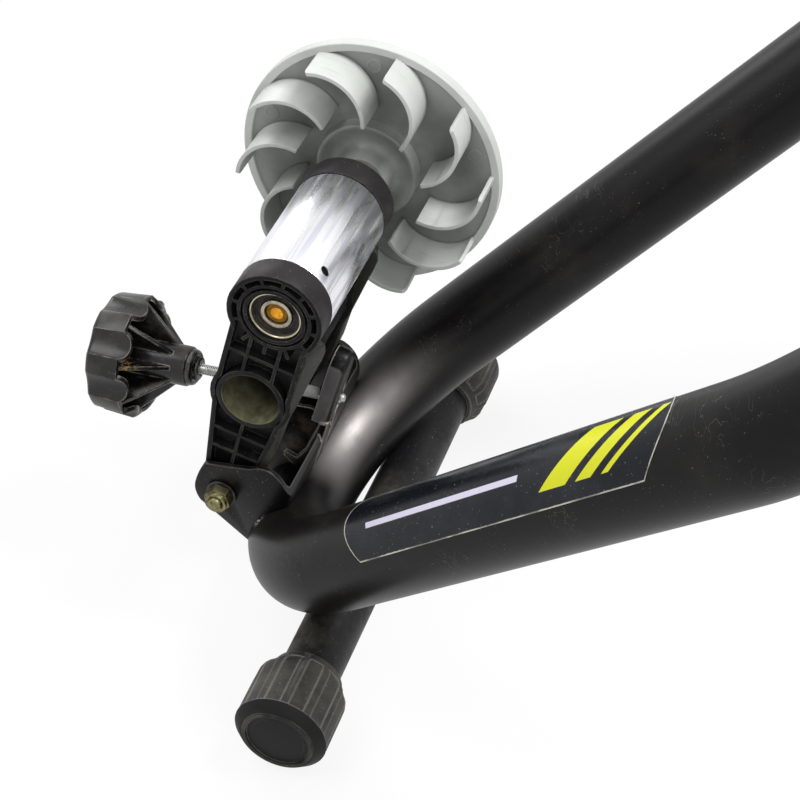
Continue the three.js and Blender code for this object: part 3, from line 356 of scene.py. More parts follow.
class Finish(Wiring):
    # a material, coated from its base colour outwards
    def __init__(self, name, base, **fixed):
        self.material = bpy.data.materials.new(name)
        self.material.use_nodes = True
        super().__init__(self.material.node_tree)
        self.shader = self.tree.nodes["Principled BSDF"]
        for key, value in fixed.items():
            self.shader.inputs[key.replace("_", " ")].default_value = value
        self.place = self.node("ShaderNodeTexCoord", output="Object")
        self.base = base

    def between(self, value, low, high):
        # 0 below low and 1 above high
        limits = {"Value": value, "From Min": low, "From Max": high}
        return self.node("ShaderNodeMapRange", {"interpolation_type": "SMOOTHSTEP"}, limits)

    def below(self, value, low, high):
        return 1 - self.between(value, low, high)

    def coat(self, amount, shade):
        sockets = {0: amount, 6: self.base, 7: shade}
        self.base = self.node("ShaderNodeMix", {"data_type": "RGBA"}, sockets, 2)

    def vector(self, operation, first, second):
        return self.node("ShaderNodeVectorMath", {"operation": operation}, {0: first, 1: second}, "Value")

    def axes(self, wire):
        made = self.node("ShaderNodeSeparateXYZ", None, {0: wire})
        return [Wire(self, output) for output in made.socket.node.outputs]

    def hypot(self, first, second):
        return self.sum("SQRT", first * first + second * second)

    def laid(self, place):
        # coordinates in millimetres in the place of a part
        sockets = {
            "Vector": self.place,
            "Location": place.to_translation(),
            "Rotation": place.to_3x3().normalized().to_euler(),
            "Scale": (millimetre, millimetre, millimetre),
        }
        return self.node("ShaderNodeMapping", {"vector_type": "TEXTURE"}, sockets)

    def noise(self, scale, detail=3.0, rough=0.55, where=None, stretch=None):
        where = where or self.place
        if stretch:
            where = self.node("ShaderNodeMapping", None, {"Vector": where, "Scale": stretch})
        sockets = {"Vector": where, "Scale": scale, "Detail": detail, "Roughness": rough}
        return self.node("ShaderNodeTexNoise", None, sockets)

    def patches(self, low, high, *noise):
        return self.between(self.noise(*noise), low, high)

    def scratches(self, scale, width, stretch):
        # thin lines: the middle of a stretched noise
        field = self.noise(scale, 2.0, 0.5, None, stretch)
        return 1 - self.between(abs(field - 0.5), 0.0, width)

    def edges(self, radius, low=0.004, high=0.03):
        # where a surface turns within a small radius
        bevel = self.node("ShaderNodeBevel", {"samples": 4}, {"Radius": radius})
        normal = self.node("ShaderNodeNewGeometry", output="Normal")
        alike = self.vector("DOT_PRODUCT", bevel, normal)
        return self.between(1 - alike, low, high)

    def bump(self, height, distance):
        sockets = {"Height": height, "Distance": distance, "Strength": 1.0}
        self.plug(self.node("ShaderNodeBump", None, sockets), self.shader.inputs["Normal"])

    def paint(self, rough=None, metal=None):
        for value, name in ((self.base, "Base Color"), (rough, "Roughness"), (metal, "Metallic")):
            if value is not None:
                self.plug(value, self.shader.inputs[name])
        return self.material


def plainFinish(name, base, level, index=1.45):
    return Finish(name, base, IOR=index, Specular_IOR_Level=level)


# places that the finishes mark, in the places of the parts that carry them
# the bend's centre, the line on its inner side where a highlight is painted, and the weld
bendMark = {"centre": 84.45, "radius": 77.5, "rise": 7.0, "weld": (57.5, -2.0, 25.0)}
boreHeight = 69.5
tongueHalf = 9.0
greasePlace = (22.0, -33.0, 9.0)
screwX = 31.5


def blackPaint(name, dust, shade, worn):
    # satin stove enamel with fine peel, dust and a few scratches
    finish = plainFinish(name, shade, 0.18)
    specks = finish.noise(900, 2, 0.6)
    film = finish.patches(0.46, 0.72, 22, 4, 0.6) * dust
    dots = finish.between(specks, 0.69, 0.74) * finish.patches(0.45, 0.6, 60, 2)
    lines = finish.scratches(150, 0.006, (1, 0.08, 1)) * finish.patches(0.6, 0.68, 30, 2)
    finish.coat(film, "5f5a52")
    finish.coat(dots * 0.35 * worn, "b4aca0")
    finish.coat(lines * 0.4 * worn, "8f8b86")
    finish.bump(finish.noise(700, 2) * 0.6 + lines * -0.4, 0.00006)
    return finish.paint(0.36 + film * 0.5 + specks * 0.06)


def bendPaint():
    # the main tube: the same enamel, dusty where the bend is handled, with a painted highlight on the
    # inner side of the bend
    finish = plainFinish("main_tube_enamel", "0c0a0a", 0.2)
    local = finish.laid(framePlace)
    x, y, z = finish.axes(local)
    radius = finish.hypot(x, y - bendMark["centre"])
    highlightNoise = finish.patches(0.42, 0.66, 24, 5, 0.62, local, (0.001, 0.001, 0.001))
    # a painted highlight on the inner side of the bend: pale and metallic along a line on the tube, fading
    # outwards
    fromHighlightLine = finish.hypot(radius - bendMark["radius"], z - bendMark["rise"])
    along = finish.between(x, -82, -38) * finish.below(x, -12, 22) * finish.below(y, 62, 120)
    paintedHighlight = finish.below(fromHighlightLine, 2, 18) * along * (0.8 + highlightNoise * 0.2)
    film = finish.patches(0.5, 0.8, 26, 4, 0.6) * 0.05
    specks = finish.noise(1100, 2, 0.6)
    dots = finish.between(specks, 0.69, 0.74) * finish.patches(0.45, 0.62, 55, 2)
    lines = finish.scratches(160, 0.006, (0.1, 1, 1)) * finish.patches(0.58, 0.68, 30, 2)
    # a bare patch where the bracket is welded on
    mark = finish.vector("DISTANCE", local, bendMark["weld"])
    bare = finish.below(mark, 2.0, 7.0) * finish.patches(0.5, 0.58, 500, 3, 0.7)
    finish.coat(film, "77716a")
    finish.coat(dots * 0.4, "b4aca0")
    finish.coat(lines * 0.35, "8f8b86")
    # painted highlight: pale here, and metallic in the paint below
    finish.coat(paintedHighlight * 0.8, "a5a09e")
    finish.coat(bare, "d8d6d2")
    finish.bump(finish.noise(650, 2) * 0.6 - lines * 0.4 - bare, 0.00006)
    return finish.paint(0.34 + film * 0.3 + paintedHighlight * 0.06 + specks * 0.05, paintedHighlight * 0.6)


def bracketPaint():
    # the bracket is pale along its edges from wear, with a painted highlight along the tongue's edges, a
    # painted lit band on the tongue's side wall, and rust inside the tongue
    finish = plainFinish("bracket_enamel", "0b0a0b", 0.22)
    x, _, z = finish.axes(finish.laid(unitPlace))
    onTongue = finish.below(abs(x), tongueHalf + 0.4, tongueHalf + 1) * finish.between(z, -14, -10)
    worn = finish.edges(0.0012, 0.003, 0.02) * finish.patches(0.2, 0.42, 150, 4)
    dust = finish.patches(0.46, 0.72, 30, 4, 0.6)
    rust = onTongue * finish.below(z, 22, 30) * finish.patches(0.42, 0.62, 90, 5, 0.7)
    # painted light: a paler band on the tongue's lit side wall
    paintedLitFlank = onTongue * finish.between(z, 27, 29) * finish.between(abs(x), 8.2, 8.8)
    finish.coat(dust * 0.1, "5f5a52")
    finish.coat(rust * 0.6, "54483a")
    finish.coat(paintedLitFlank * (0.5 + dust * 0.3), "8f8b8c")
    # pale edges: wear, and along the tongue a painted highlight
    finish.coat(worn * (0.1 + onTongue * 0.6), "d2cdc4")
    finish.coat(finish.patches(0.69, 0.74, 900, 2) * 0.3, "b4aca0")
    finish.bump(finish.noise(700, 2), 0.00006)
    return finish.paint(0.34 + dust * 0.2)


def crosstubePaint():
    finish = plainFinish("crosstube_enamel", "1b1a1c", 0.22)
    patches = finish.noise(48, 5, 0.66)
    scuffs = finish.between(patches, 0.52, 0.62)
    dust = finish.patches(0.45, 0.7, 19, 4, 0.6)
    finish.coat(dust * 0.6, "5d5950")
    finish.coat(scuffs * 0.5, "100f11")
    finish.coat(finish.patches(0.68, 0.74, 800, 2) * 0.4, "a9a49a")
    finish.bump(finish.noise(420, 3) + patches, 0.0001)
    return finish.paint(0.42 + dust * 0.3 + scuffs * 0.1)


def footRubber():
    finish = plainFinish("dusty_rubber", "29282a", 0.3, 1.5)
    dust = finish.patches(0.36, 0.68, 34, 5, 0.65)
    finish.coat(dust * 0.6, "66645a")
    finish.coat(finish.patches(0.55, 0.68, 120, 3, 0.6, None, (0.12, 1, 1)) * 0.35, "7f7d78")
    # pale along the edges: partly wear, partly painted highlight on the rims
    finish.coat(finish.edges(0.0012) * 0.7, "96948c")
    finish.coat(finish.patches(0.68, 0.73, 900, 2) * 0.5, "b5b1a6")
    finish.bump(finish.noise(500, 4, 0.65), 0.00012)
    return finish.paint(0.6 + dust * 0.25)


def footSoleRubber():
    finish = plainFinish("dark_rubber", "0e0e0f", 0.2, 1.5)
    dust = finish.patches(0.5, 0.8, 30, 5, 0.65)
    finish.coat(dust * 0.2, "4a4843")
    # pale along the edges: partly wear, partly painted highlight on the rim
    worn = finish.edges(0.0008) * finish.patches(0.3, 0.6, 60, 3)
    finish.coat(worn * 0.6, "7d7b73")
    finish.bump(finish.noise(500, 4, 0.65), 0.0001)
    return finish.paint(0.55 + dust * 0.25)


def blackMoulding(name, shade, rough, dusty):
    # glass-filled black plastic with a fine grain, grey along its edges: partly wear, partly painted
    # highlight
    finish = plainFinish(name, shade, 0.26, 1.48)
    dust = finish.patches(0.5, 0.78, 46, 5, 0.62) * dusty
    worn = finish.edges(0.0008) * finish.patches(0.4, 0.62, 120, 4)
    finish.coat(dust * 0.35, "5c584f")
    finish.coat(worn * 0.4, "6d6a64")
    finish.coat(finish.patches(0.7, 0.74, 900, 2) * 0.5 * dusty, "b9b5ab")
    grain = finish.noise(1500, 3, 0.6)
    finish.bump(grain + worn * -0.3, 0.00005)
    return finish.paint(rough + dust * 0.3 + grain * 0.08)


def yokeMoulding():
    # the same black plastic, with a trace of olive dust in the cross tube, painted light low in its +x
    # end, and a paler band on the bosses
    finish = plainFinish("yoke_moulding", "0b0b0c", 0.16, 1.48)
    local = finish.laid(unitPlace)
    x, y, z = finish.axes(local)
    inBore = finish.below(finish.hypot(y, z - boreHeight), 15.7, 16.1)
    low = finish.below(z, 58, 76) * finish.between(x, 18, 51)
    grit = finish.patches(0.34, 0.66, 1.0, 5, 0.65, local, (0.16, 0.16, 0.16))
    fromAxis = finish.hypot(y, z - yokeLength)
    band = finish.between(fromAxis, 24.4, 24.8) * finish.below(fromAxis, 25.6, 26.0)
    dust = finish.patches(0.5, 0.78, 46, 5, 0.62)
    worn = finish.edges(0.0008) * finish.patches(0.4, 0.62, 120, 4)
    finish.coat(dust * 0.25, "4b4841")
    finish.coat(finish.below(abs(x), 53.4, 54.6) * 0.35, "242224")
    finish.coat(band * 0.5, "332f31")
    # olive in the bore: a trace of dust throughout, and painted light low in its +x end
    finish.coat(inBore * (0.02 + low * 0.8) * (0.5 + grit * 0.5), "8b8868")
    # grey along the edges: partly wear, partly painted highlight
    finish.coat(worn * 0.45, "6d6a64")
    finish.coat(finish.patches(0.7, 0.74, 900, 2) * 0.3, "b9b5ab")
    grain = finish.noise(1500, 3, 0.6)
    finish.bump(grain + worn * -0.3, 0.00005)
    return finish.paint(0.4 + dust * 0.25 + grain * 0.08)


def knobMoulding():
    finish = plainFinish("knob_moulding", "121010", 0.4, 1.5)
    local = finish.laid(rodPlace)
    dust = finish.patches(0.45, 0.75, 60, 5, 0.62)
    worn = finish.edges(0.0009) * finish.patches(0.36, 0.6, 160, 4)
    lines = finish.scratches(240, 0.008, (1, 0.25, 1)) * finish.patches(0.54, 0.64, 50, 2)
    finish.coat(dust * 0.25, "5a564e")
    finish.coat(worn * 0.75, "9a958c")
    finish.coat(lines * 0.4, "77746e")
    # a smear of old grease on one gusset
    smear = finish.vector("DISTANCE", local, greasePlace)
    grease = finish.below(smear, 3, 9) * finish.patches(0.5, 0.6, 420, 3)
    finish.coat(grease * 0.8, "b08a4a")
    grain = finish.noise(1200, 3, 0.6)
    finish.bump(grain * 0.6 - lines * 0.5, 0.00006)
    return finish.paint(0.22 + dust * 0.2 + grain * 0.08)


def rollerMetal():
    # turned and polished aluminium, streaked along its length: partly tyre marks, partly painted
    # reflection
    finish = Finish("roller_metal", "f0f0f2", Metallic=1.0)
    local = finish.laid(rotorPlace)
    rings = finish.noise(1.0, 3, 0.6, local, (5.0, 0.04, 0.04))
    streaksAndReflection = finish.noise(1.0, 2, 0.5, local, (0.012, 0.34, 0.34))
    fine = finish.noise(1.0, 3, 0.6, local, (0.03, 1.6, 1.6))
    worn = finish.patches(0.5, 0.68, 1.0, 3, 0.6, local, (0.03, 0.12, 0.12))
    # bands along the axis: partly tyre marks, partly painted reflection
    finish.coat(finish.between(streaksAndReflection, 0.42, 0.6), "d2d2dc")
    finish.coat(finish.between(fine, 0.55, 0.72) * 0.12, "a9a8b4")
    finish.coat(worn * 0.2, "b4b3bb")
    # painted shade: the screw's hole is darkened inside
    x, y, z = finish.axes(local)
    inHole = finish.below(finish.hypot(y, z), 24.2, 24.5) * finish.below(abs(x - screwX), 3.8, 4.0)
    finish.coat(inHole * 0.85, "1c1b1d")
    finish.bump(rings * 0.6 + fine * 0.2, 0.00003)
    return finish.paint(0.26 + finish.between(streaksAndReflection, 0.4, 0.62) * 0.08 + worn * 0.12)


def fanMoulding():
    # light grey moulding with random dirty patches, and painted shade on its disc and round its hub,
    # darkest towards the hub
    finish = plainFinish("fan_moulding", "c6c9c5", 0.5, 1.46)
    local = finish.laid(rotorPlace)
    x, y, z = finish.axes(local)
    radius = finish.hypot(y, z)
    onRim = finish.between(radius, 68.4, 68.8)
    flat = finish.below(x, -90.3, -88.5)
    dished = finish.below(radius, 28.0, 29.0) * finish.below(x, -81.5, -73.0) * 0.7
    onDisc = finish.sum("MAXIMUM", flat * (1 - onRim), dished)
    grimeAndShade = finish.patches(0.3, 0.75, 30, 5, 0.6)
    inner = finish.below(radius, 52, 70) * (0.6 + grimeAndShade * 0.4)
    hubShade = finish.below(radius, 30, 60)
    finish.coat(grimeAndShade * 0.25, "9da09b")
    # painted shade round the hub, and on the disc between the blades, darker towards the hub
    finish.coat(hubShade * (0.25 + grimeAndShade * 0.3), "5e615c")
    finish.coat(onDisc * (0.42 + inner * 0.4), "4c4f4b")
    finish.coat(finish.patches(0.55, 0.75, 1.0, 3, 0.6, local, (0.4, 0.05, 0.05)) * 0.2, "868b87")
    finish.bump(finish.noise(800, 3), 0.00004)
    return finish.paint(0.34 + grimeAndShade * 0.16)


def zincPlate():
    finish = Finish("yellow_zinc", "8c8663", Metallic=1.0)
    patch = finish.noise(260, 4, 0.65)
    finish.coat(finish.between(patch, 0.35, 0.7), "5c573b")
    dirt = finish.patches(0.56, 0.68, 420, 3)
    finish.coat(dirt * 0.7, "35311f")
    finish.bump(patch, 0.00008)
    return finish.paint(0.42 + dirt * 0.25)


def brightSteel(name, shade="bdbdba", rough=0.26, dull=0.35):
    finish = Finish(name, shade, Metallic=1.0)
    patch = finish.noise(180, 4, 0.6)
    worn = finish.between(patch, 0.45, 0.7)
    finish.coat(worn * dull, "6f6e6a")
    finish.bump(finish.noise(900, 3), 0.00004)
    return finish.paint(rough + worn * 0.2)


def platedSteel():
    # painted highlight: the chrome is pale and partly diffuse, so it shows bright even where little light
    # reaches it
    finish = plainFinish("bright_plating", "e4e4df", 0.6, 1.6)
    patch = finish.noise(260, 3)
    finish.coat(finish.between(patch, 0.5, 0.75) * 0.4, "8f8e88")
    return finish.paint(0.24 + patch * 0.1, 0.25 + patch * 0.1)


def shaftSteel():
    # the shaft's end has an amber film of old oil
    finish = Finish("oiled_shaft", "d08a1c", Metallic=0.85)
    patch = finish.noise(420, 4, 0.6)
    finish.coat(finish.between(patch, 0.4, 0.62), "f2b53a")
    _, y, z = finish.axes(finish.laid(rotorPlace))
    rim = finish.between(finish.hypot(y, z), 2.9, 3.6)
    dirt = finish.sum("MAXIMUM", finish.patches(0.58, 0.7, 300, 3), rim)
    finish.coat(dirt * 0.75, "3b2a12")
    finish.bump(patch, 0.00015)
    return finish.paint(0.4 + dirt * 0.2)


finishes = {
    "blackPaint": blackPaint("frame_enamel", 0.1, "0f0d0d", 1.0),
    "bendPaint": bendPaint(),
    "bracketPaint": bracketPaint(),
    "crosstubePaint": crosstubePaint(),
    "rubber": footRubber(),
    "soleRubber": footSoleRubber(),
    "yoke": yokeMoulding(),
    "flange": blackMoulding("flange_moulding", "25251f", 0.5, 1.0),
    "plug": blackMoulding("plug_moulding", "131314", 0.42, 0.5),
    "knob": knobMoulding(),
    "roller": rollerMetal(),
    "fan": fanMoulding(),
    "zinc": zincPlate(),
    "steel": brightSteel("bright_steel"),
    "dullSteel": brightSteel("dull_steel", "8f8e88", 0.34, 0.6),
    "bearingSteel": brightSteel("bearing_steel", "c9c0a8", 0.36, 0.4),
    "blackSteel": brightSteel("black_steel", "3a3a3b", 0.38, 0.4),
    "plated": platedSteel(),
    "innerRace": brightSteel("inner_race", "b0a996", 0.34, 0.5),
    "seal": blackMoulding("bearing_seal", "0c0c0d", 0.4, 0.3),
    "shaft": shaftSteel(),
}
print("finishes made:", len(finishes))


# Main tube

mainTube = {
    "radius": 25.4,
    "wall": 2.0,
    "sides": 72,
    "halfSpread": 82.75,
    "splay": 14.26,
    "rearSetback": 16.56,
    "rearSteps": 54,
    "reach": 482.0,
    "endStraight": 132.0,
    "upperRadius": 150.0,
    "boltReach": 395.0,
    "boltHole": 5.3,
    "axleReach": 448.0,
    "axleHole": 17.3,
    "stopPlace": (418.79, -15.69),
    "stopHole": 5.3,
    "past": 40.0,
}
splay = radians(mainTube["splay"])
upperReach = mainTube["reach"] - mainTube["endStraight"]
armTop = mainTube["halfSpread"] + upperReach * tan(splay)
spreadPart = mainTube["halfSpread"] * cos(splay)
rearRadius = (spreadPart - mainTube["rearSetback"] * sin(splay)) / (1 - sin(splay))
rearCentre = rearRadius - mainTube["rearSetback"]


def rodPiece(name, radius, bottom, top, sides, place):
    piece = turned(name, [(bottom, radius), (top, radius)], sides)
    piece.data.transform(place)
    return piece


def makeMainTube():
    size = mainTube
    reach, upper = size["reach"], size["upperRadius"]
    bendY = upperReach + upper * tan(splay / 2)
    bendX = armTop - upper
    facing = (radians(90), 0, 0)
    piece = startRing("main_tube", size["radius"], size["sides"], (armTop, reach, 0), facing)
    extrude(0, bendY - reach, 0)
    spin(size["splay"], 6, bendX, bendY)
    fromX = bendX + upper * cos(splay)
    fromY = bendY - upper * sin(splay)
    toX = rearRadius * cos(splay)
    toY = rearCentre - rearRadius * sin(splay)
    extrude(toX - fromX, toY - fromY, 0)
    spin(180 - 2 * size["splay"], size["rearSteps"], 0, rearCentre)
    extrude(toX - fromX, fromY - toY, 0)
    spin(size["splay"], 6, -bendX, bendY)
    extrude(0, reach - bendY, 0)
    closeFacingOut()
    applied(piece, "SOLIDIFY", {"thickness": size["wall"], "offset": -1.0})
    wide = armTop + size["past"]
    stopY, stopZ = size["stopPlace"]
    holes = [
        (size["boltHole"], -wide, wide, 24, (0, size["boltReach"], 0)),
        (size["axleHole"], -wide, wide, 48, (0, size["axleReach"], 0)),
        (size["stopHole"], armTop, wide, 24, (0, stopY, stopZ)),
        (size["stopHole"], -wide, -armTop, 24, (0, stopY, stopZ)),
    ]
    for radius, low, high, sides, place in holes:
        carved(piece, rodPiece("hole", radius, low, high, sides, shift(*place) @ alongX))
    smoothed(piece, 35)
    settle(piece, framePlace, "frame", "bendPaint", ["main_frame"])


makeMainTube()
print("main tube made")


# Film on the right arm, with plain bands

film = {
    "start": 112.0,
    "end": 310.0,
    "startBulge": -12.0,
    "endBulge": 15.0,
    "lowAngle": 27.0,
    "highAngle": 138.0,
    "lift": 0.1,
    "thickness": 0.12,
    # plain print, in millimetres along the film and up it
    "bands": ((126, 16), (148, 9), (163, 4)),
    "bandRise": (7.5, 33.0),
    "slant": 0.9,
    "lineRise": (15.0, 18.0),
    "lineReach": (16.0, 118.0),
}


def filmFinish():
    size = film
    finish = plainFinish("printed_film", "0c0f16", 0.2, 1.5)
    long = size["end"] - size["start"]
    wide = radians(size["highAngle"] - size["lowAngle"]) * mainTube["radius"]
    u, v, _ = finish.axes(finish.node("ShaderNodeTexCoord", output="UV"))
    along = u * long
    up = v * wide

    def within(value, low, high, soft=0.3):
        return finish.between(value, low, low + soft) - finish.between(value, high, high + soft)

    edge = finish.sum("MINIMUM", finish.sum("MINIMUM", along, long - along), up)
    ragged = finish.noise(260, 4, 0.7)
    rim = finish.below(edge, 0.1 + ragged * 0.5, 0.35 + ragged * 0.9)
    chips = finish.patches(0.42, 0.62, 1.0, 3, 0.6, None, (60, 60, 60))
    bands = 0.0
    for start, width in size["bands"]:
        bands = within(along - up * size["slant"], start, start + width) + bands
    line = within(up, *size["lineRise"]) * within(along, *size["lineReach"], 0.4)
    haze = finish.patches(0.5, 0.8, 24, 4, 0.6)
    finish.coat(haze * 0.12, "5b6068")
    finish.coat(bands * within(up, *size["bandRise"]), "d9dc28")
    finish.coat(line, "d8d3e6")
    finish.coat(finish.patches(0.69, 0.74, 900, 2) * 0.5, "aaa79f")
    finish.coat(rim * (0.35 + chips * 0.6), "c9c5bb")
    finish.bump(finish.noise(120, 3) + rim * 0.4, 0.00008)
    return finish.paint(0.24 + haze * 0.2 + rim * 0.3)


def makeFilm():
    size = film
    deselectAll()
    bpy.ops.mesh.primitive_grid_add(x_subdivisions=72, y_subdivisions=40, size=2)
    piece = named(bpy.context.object, "arm_film")
    radius = mainTube["radius"] + size["lift"]
    ahead = Vector((sin(splay), cos(splay), 0))
    side = Vector((cos(splay), -sin(splay), 0))
    corner = Vector((mainTube["halfSpread"], 0, 0))
    # wrapped round the arm: x runs along it and y round it
    for vert in piece.data.vertices:
        u, v = (vert.co.x + 1) / 2, (vert.co.y + 1) / 2
        bulge = sin(pi * v)
        start = size["start"] + size["startBulge"] * bulge
        end = size["end"] + size["endBulge"] * bulge
        angle = radians(size["lowAngle"] + (size["highAngle"] - size["lowAngle"]) * v)
        out = side * cos(angle) + Vector((0, 0, 1)) * sin(angle)
        vert.co = corner + ahead * (start + (end - start) * u) + out * radius
    openEdit(piece)
    pickAll()
    bpy.ops.mesh.normals_make_consistent(inside=False)
    closeEdit()
    middle = piece.data.polygons[len(piece.data.polygons) // 2]
    if middle.normal.dot(side + Vector((0, 0, 1))) < 0:
        piece.data.flip_normals()
    applied(piece, "SOLIDIFY", {"thickness": size["thickness"], "offset": 1.0})
    smoothed(piece, 40)
    settle(piece, framePlace, "frame", "film")


finishes["film"] = filmFinish()
makeFilm()
print("film made")


# Rear crosstube and its feet

crosstube = {"radius": 15.9, "wall": 1.6, "half": 154.0, "edge": 0.5, "sides": 64}
rearFoot = {
    "sides": 72,
    "panels": 12,
    "rib": 10,
    "recess": 0.55,
    "ribSlope": 0.3,
    "panelEnds": (121.8, 156.7),
    "panelRadius": 20.4,
    "core": 1.5,
    "roll": 15,
    "bore": 16.2,
    "boreEnd": 154.3,
    "outside": [
        (116.5, 18.2), (116.9, 18.9), (117.6, 19.2), (119.6, 19.6), (121.6, 21.0), (123.8, 22.8),
        (126.2, 24.2), (129.0, 24.9), (133.0, 25.0), (156.6, 25.0), (157.0, 24.6), (160.9, 20.9),
        (161.2, 20.2), (161.2, 19.2), (162.2, 18.9), (162.5, 18.4), (162.5, 17.6), (162.1, 17.2),
        (160.9, 16.9), (160.9, 14.4), (161.1, 14.1), (161.1, 1.5),
    ],
}


def makeCrosstube():
    size = crosstube
    half, radius, edge = size["half"], size["radius"], size["edge"]
    ends = [(-half, radius - size["wall"]), (-half, radius - edge), (-half + edge, radius)]
    profile = ends + [(-height, width) for height, width in reversed(ends)]
    piece = smoothed(turned("crosstube", profile, size["sides"], bore=True))
    settle(piece, crosstubePlace @ alongX, "frame", "crosstubePaint", ["rear_crosstube"])


def makeRearFoot():
    # twelve shallow panels let in between narrow ribs, with the mouth and the end left round
    size = rearFoot
    end, bore = size["boreEnd"], size["bore"]
    inside = [(end, size["core"]), (end, bore), (size["outside"][0][0], bore)]
    piece = turned("rear_foot", inside + size["outside"], size["sides"])
    step = 360 / size["panels"]
    low, high = size["panelEnds"]

    def onPanel(centre):
        turn = degrees(atan2(centre.y, centre.x)) % step
        outside = hypot(centre.x, centre.y) > size["panelRadius"]
        return size["rib"] < turn < step and outside and low < centre.z < high

    openEdit(piece)
    pick("FACE", piece, onPanel)
    slope, depth = size["ribSlope"], -size["recess"]
    bpy.ops.mesh.inset(thickness=slope, depth=depth, use_boundary=True, use_even_offset=True)
    closeEdit()
    softened(piece, 0.22, 28)
    return smoothed(piece, 40)


def makeRearFeet():
    right = makeRearFoot()
    left = mirrored(right, "rear_foot_left_rubber", "Z")
    right.name = "rear_foot_right_rubber"
    place = crosstubePlace @ turnX(rearFoot["roll"] - tilt) @ alongX
    soleStart = rearFoot["panelEnds"][1] * millimetre
    for foot, node in ((right, "rear_foot_right"), (left, "rear_foot_left")):
        settle(foot, place, "frame", "rubber", [node])
        foot.data.materials.append(finishes["soleRubber"])
        for face in foot.data.polygons:
            face.material_index = int(abs(face.center.x) > soleStart)


makeCrosstube()
makeRearFeet()
print("crosstube and feet made")


# Roller

roller = {"radius": 25.0, "half": 39.6, "edge": 1.2, "bore": 6.3, "sides": 128, "screwTurn": 33}
screwHole = [(10, 2.5), (24.2, 2.5), (25.2, 2.9), (27, 2.9)]


def makeRoller():
    size = roller
    end, edge, radius = size["half"], size["edge"], size["radius"]
    rounding = edge * 0.3
    side = [(end - edge, radius), (end - rounding, radius - rounding), (end, radius - edge)]
    side += [(end, size["bore"])]
    profile = [(-height, width) for height, width in reversed(side)] + side
    piece = turned("roller_drum", profile, size["sides"], bore=True)
    piece.data.transform(alongX)
    hole = turned("screw_hole", screwHole, 32)
    hole.data.transform(shift(screwX, 0, 0) @ turnX(-size["screwTurn"]))
    smoothed(carved(piece, hole), 30)
    settle(piece, rotorPlace, "rotor", "roller", ["roller"])


makeRoller()
print("roller made")


# Fan

fan = {
    "bladeCount": 10,
    "phase": 21,
    "arcCentre": (44.0, 4.5),
    "arcRadius": 25.6,
    "arcStart": -10.2,
    "arcEnd": -117.5,
    "thickness": 2.1,
    "root": -91.4,
    "edge": -66.0,
    "corner": 4.0,
    "sides": 120,
}
fanProfile = [
    (-93.0, 5.3), (-74.0, 5.3), (-74.0, 12.2), (-74.6, 13.0), (-80.6, 14.6), (-83.6, 17.0),
    (-84.4, 19.6), (-84.0, 22.4), (-82.4, 25.2), (-81.7, 26.1), (-81.6, 27.8), (-82.1, 28.2),
    (-90.0, 28.5), (-90.6, 29.4), (-90.6, 67.4), (-90.0, 68.4), (-88.9, 68.7), (-88.5, 69.1),
    (-88.5, 72.9), (-88.9, 73.3), (-94.8, 73.3), (-95.2, 72.9), (-95.2, 69.0), (-94.8, 68.6),
    (-93.0, 68.2),
]
pins = {"radius": 60.6, "turns": (103.1, 175.1, 247.1, 319.1, 31.1), "face": -90.6, "size": 4.4}
hubPins = {"radius": 19.6, "turns": (-27.0, 153.0), "face": -84.6, "size": 4.2}


def makeBlade():
    # an upright edge spun into a curved sheet, its free corners rounded
    size = fan
    centreX, centreY = size["arcCentre"]
    first = arc(size["arcCentre"], size["arcRadius"], size["arcStart"], size["arcEnd"], 1)[0]
    piece = startPoint("blade", (*first, size["root"]))
    extrude(0, 0, size["edge"] - size["root"])
    pickAll()
    spin(size["arcStart"] - size["arcEnd"], 28, centreX, centreY)
    pickAll()
    bpy.ops.mesh.remove_doubles(threshold=0.0005)
    closeEdit()
    top = [vert.co.copy() for vert in piece.data.vertices if abs(vert.co.z - size["edge"]) < 0.01]
    top.sort(key=lambda place: place.y)
    ends = (top[0], top[-1])
    openEdit(piece)
    pick("VERT", piece, lambda place: any((place - end).length < 0.01 for end in ends))
    bpy.ops.mesh.bevel(offset=size["corner"], offset_pct=0, segments=5, affect="VERTICES")
    closeEdit()
    applied(piece, "SOLIDIFY", {"thickness": size["thickness"], "offset": 0.0})
    return softened(piece, 0.5, 60)


def makePin(size, turn):
    # the ring that an ejector pin leaves, from pairs of height and distance inside its rim
    steps = ((0.0, 1.3), (0.45, 1.1), (0.45, 0.4), (0.0, 0.0))
    ring = turned("pin_mark", [(height, size["size"] - inside) for height, inside in steps], 32, bore=True)
    ring.data.transform(turnZ(turn) @ shift(size["radius"], 0, size["face"]) @ turnZ(-turn))
    return ring


def makeFan():
    disc = turned("fan_disc", fanProfile, fan["sides"], bore=True)
    parts = [softened(disc, 0.3, 50)] + copiedRound(makeBlade(), fan["bladeCount"], fan["phase"])
    for size in (pins, hubPins):
        parts += [makePin(size, turn) for turn in size["turns"]]
    piece = smoothed(united("fan_wheel", parts), 35)
    settle(piece, rotorPlace @ alongX, "rotor", "fan", ["fan"])


makeFan()
print("fan made")


# Tension knob on its threaded rod

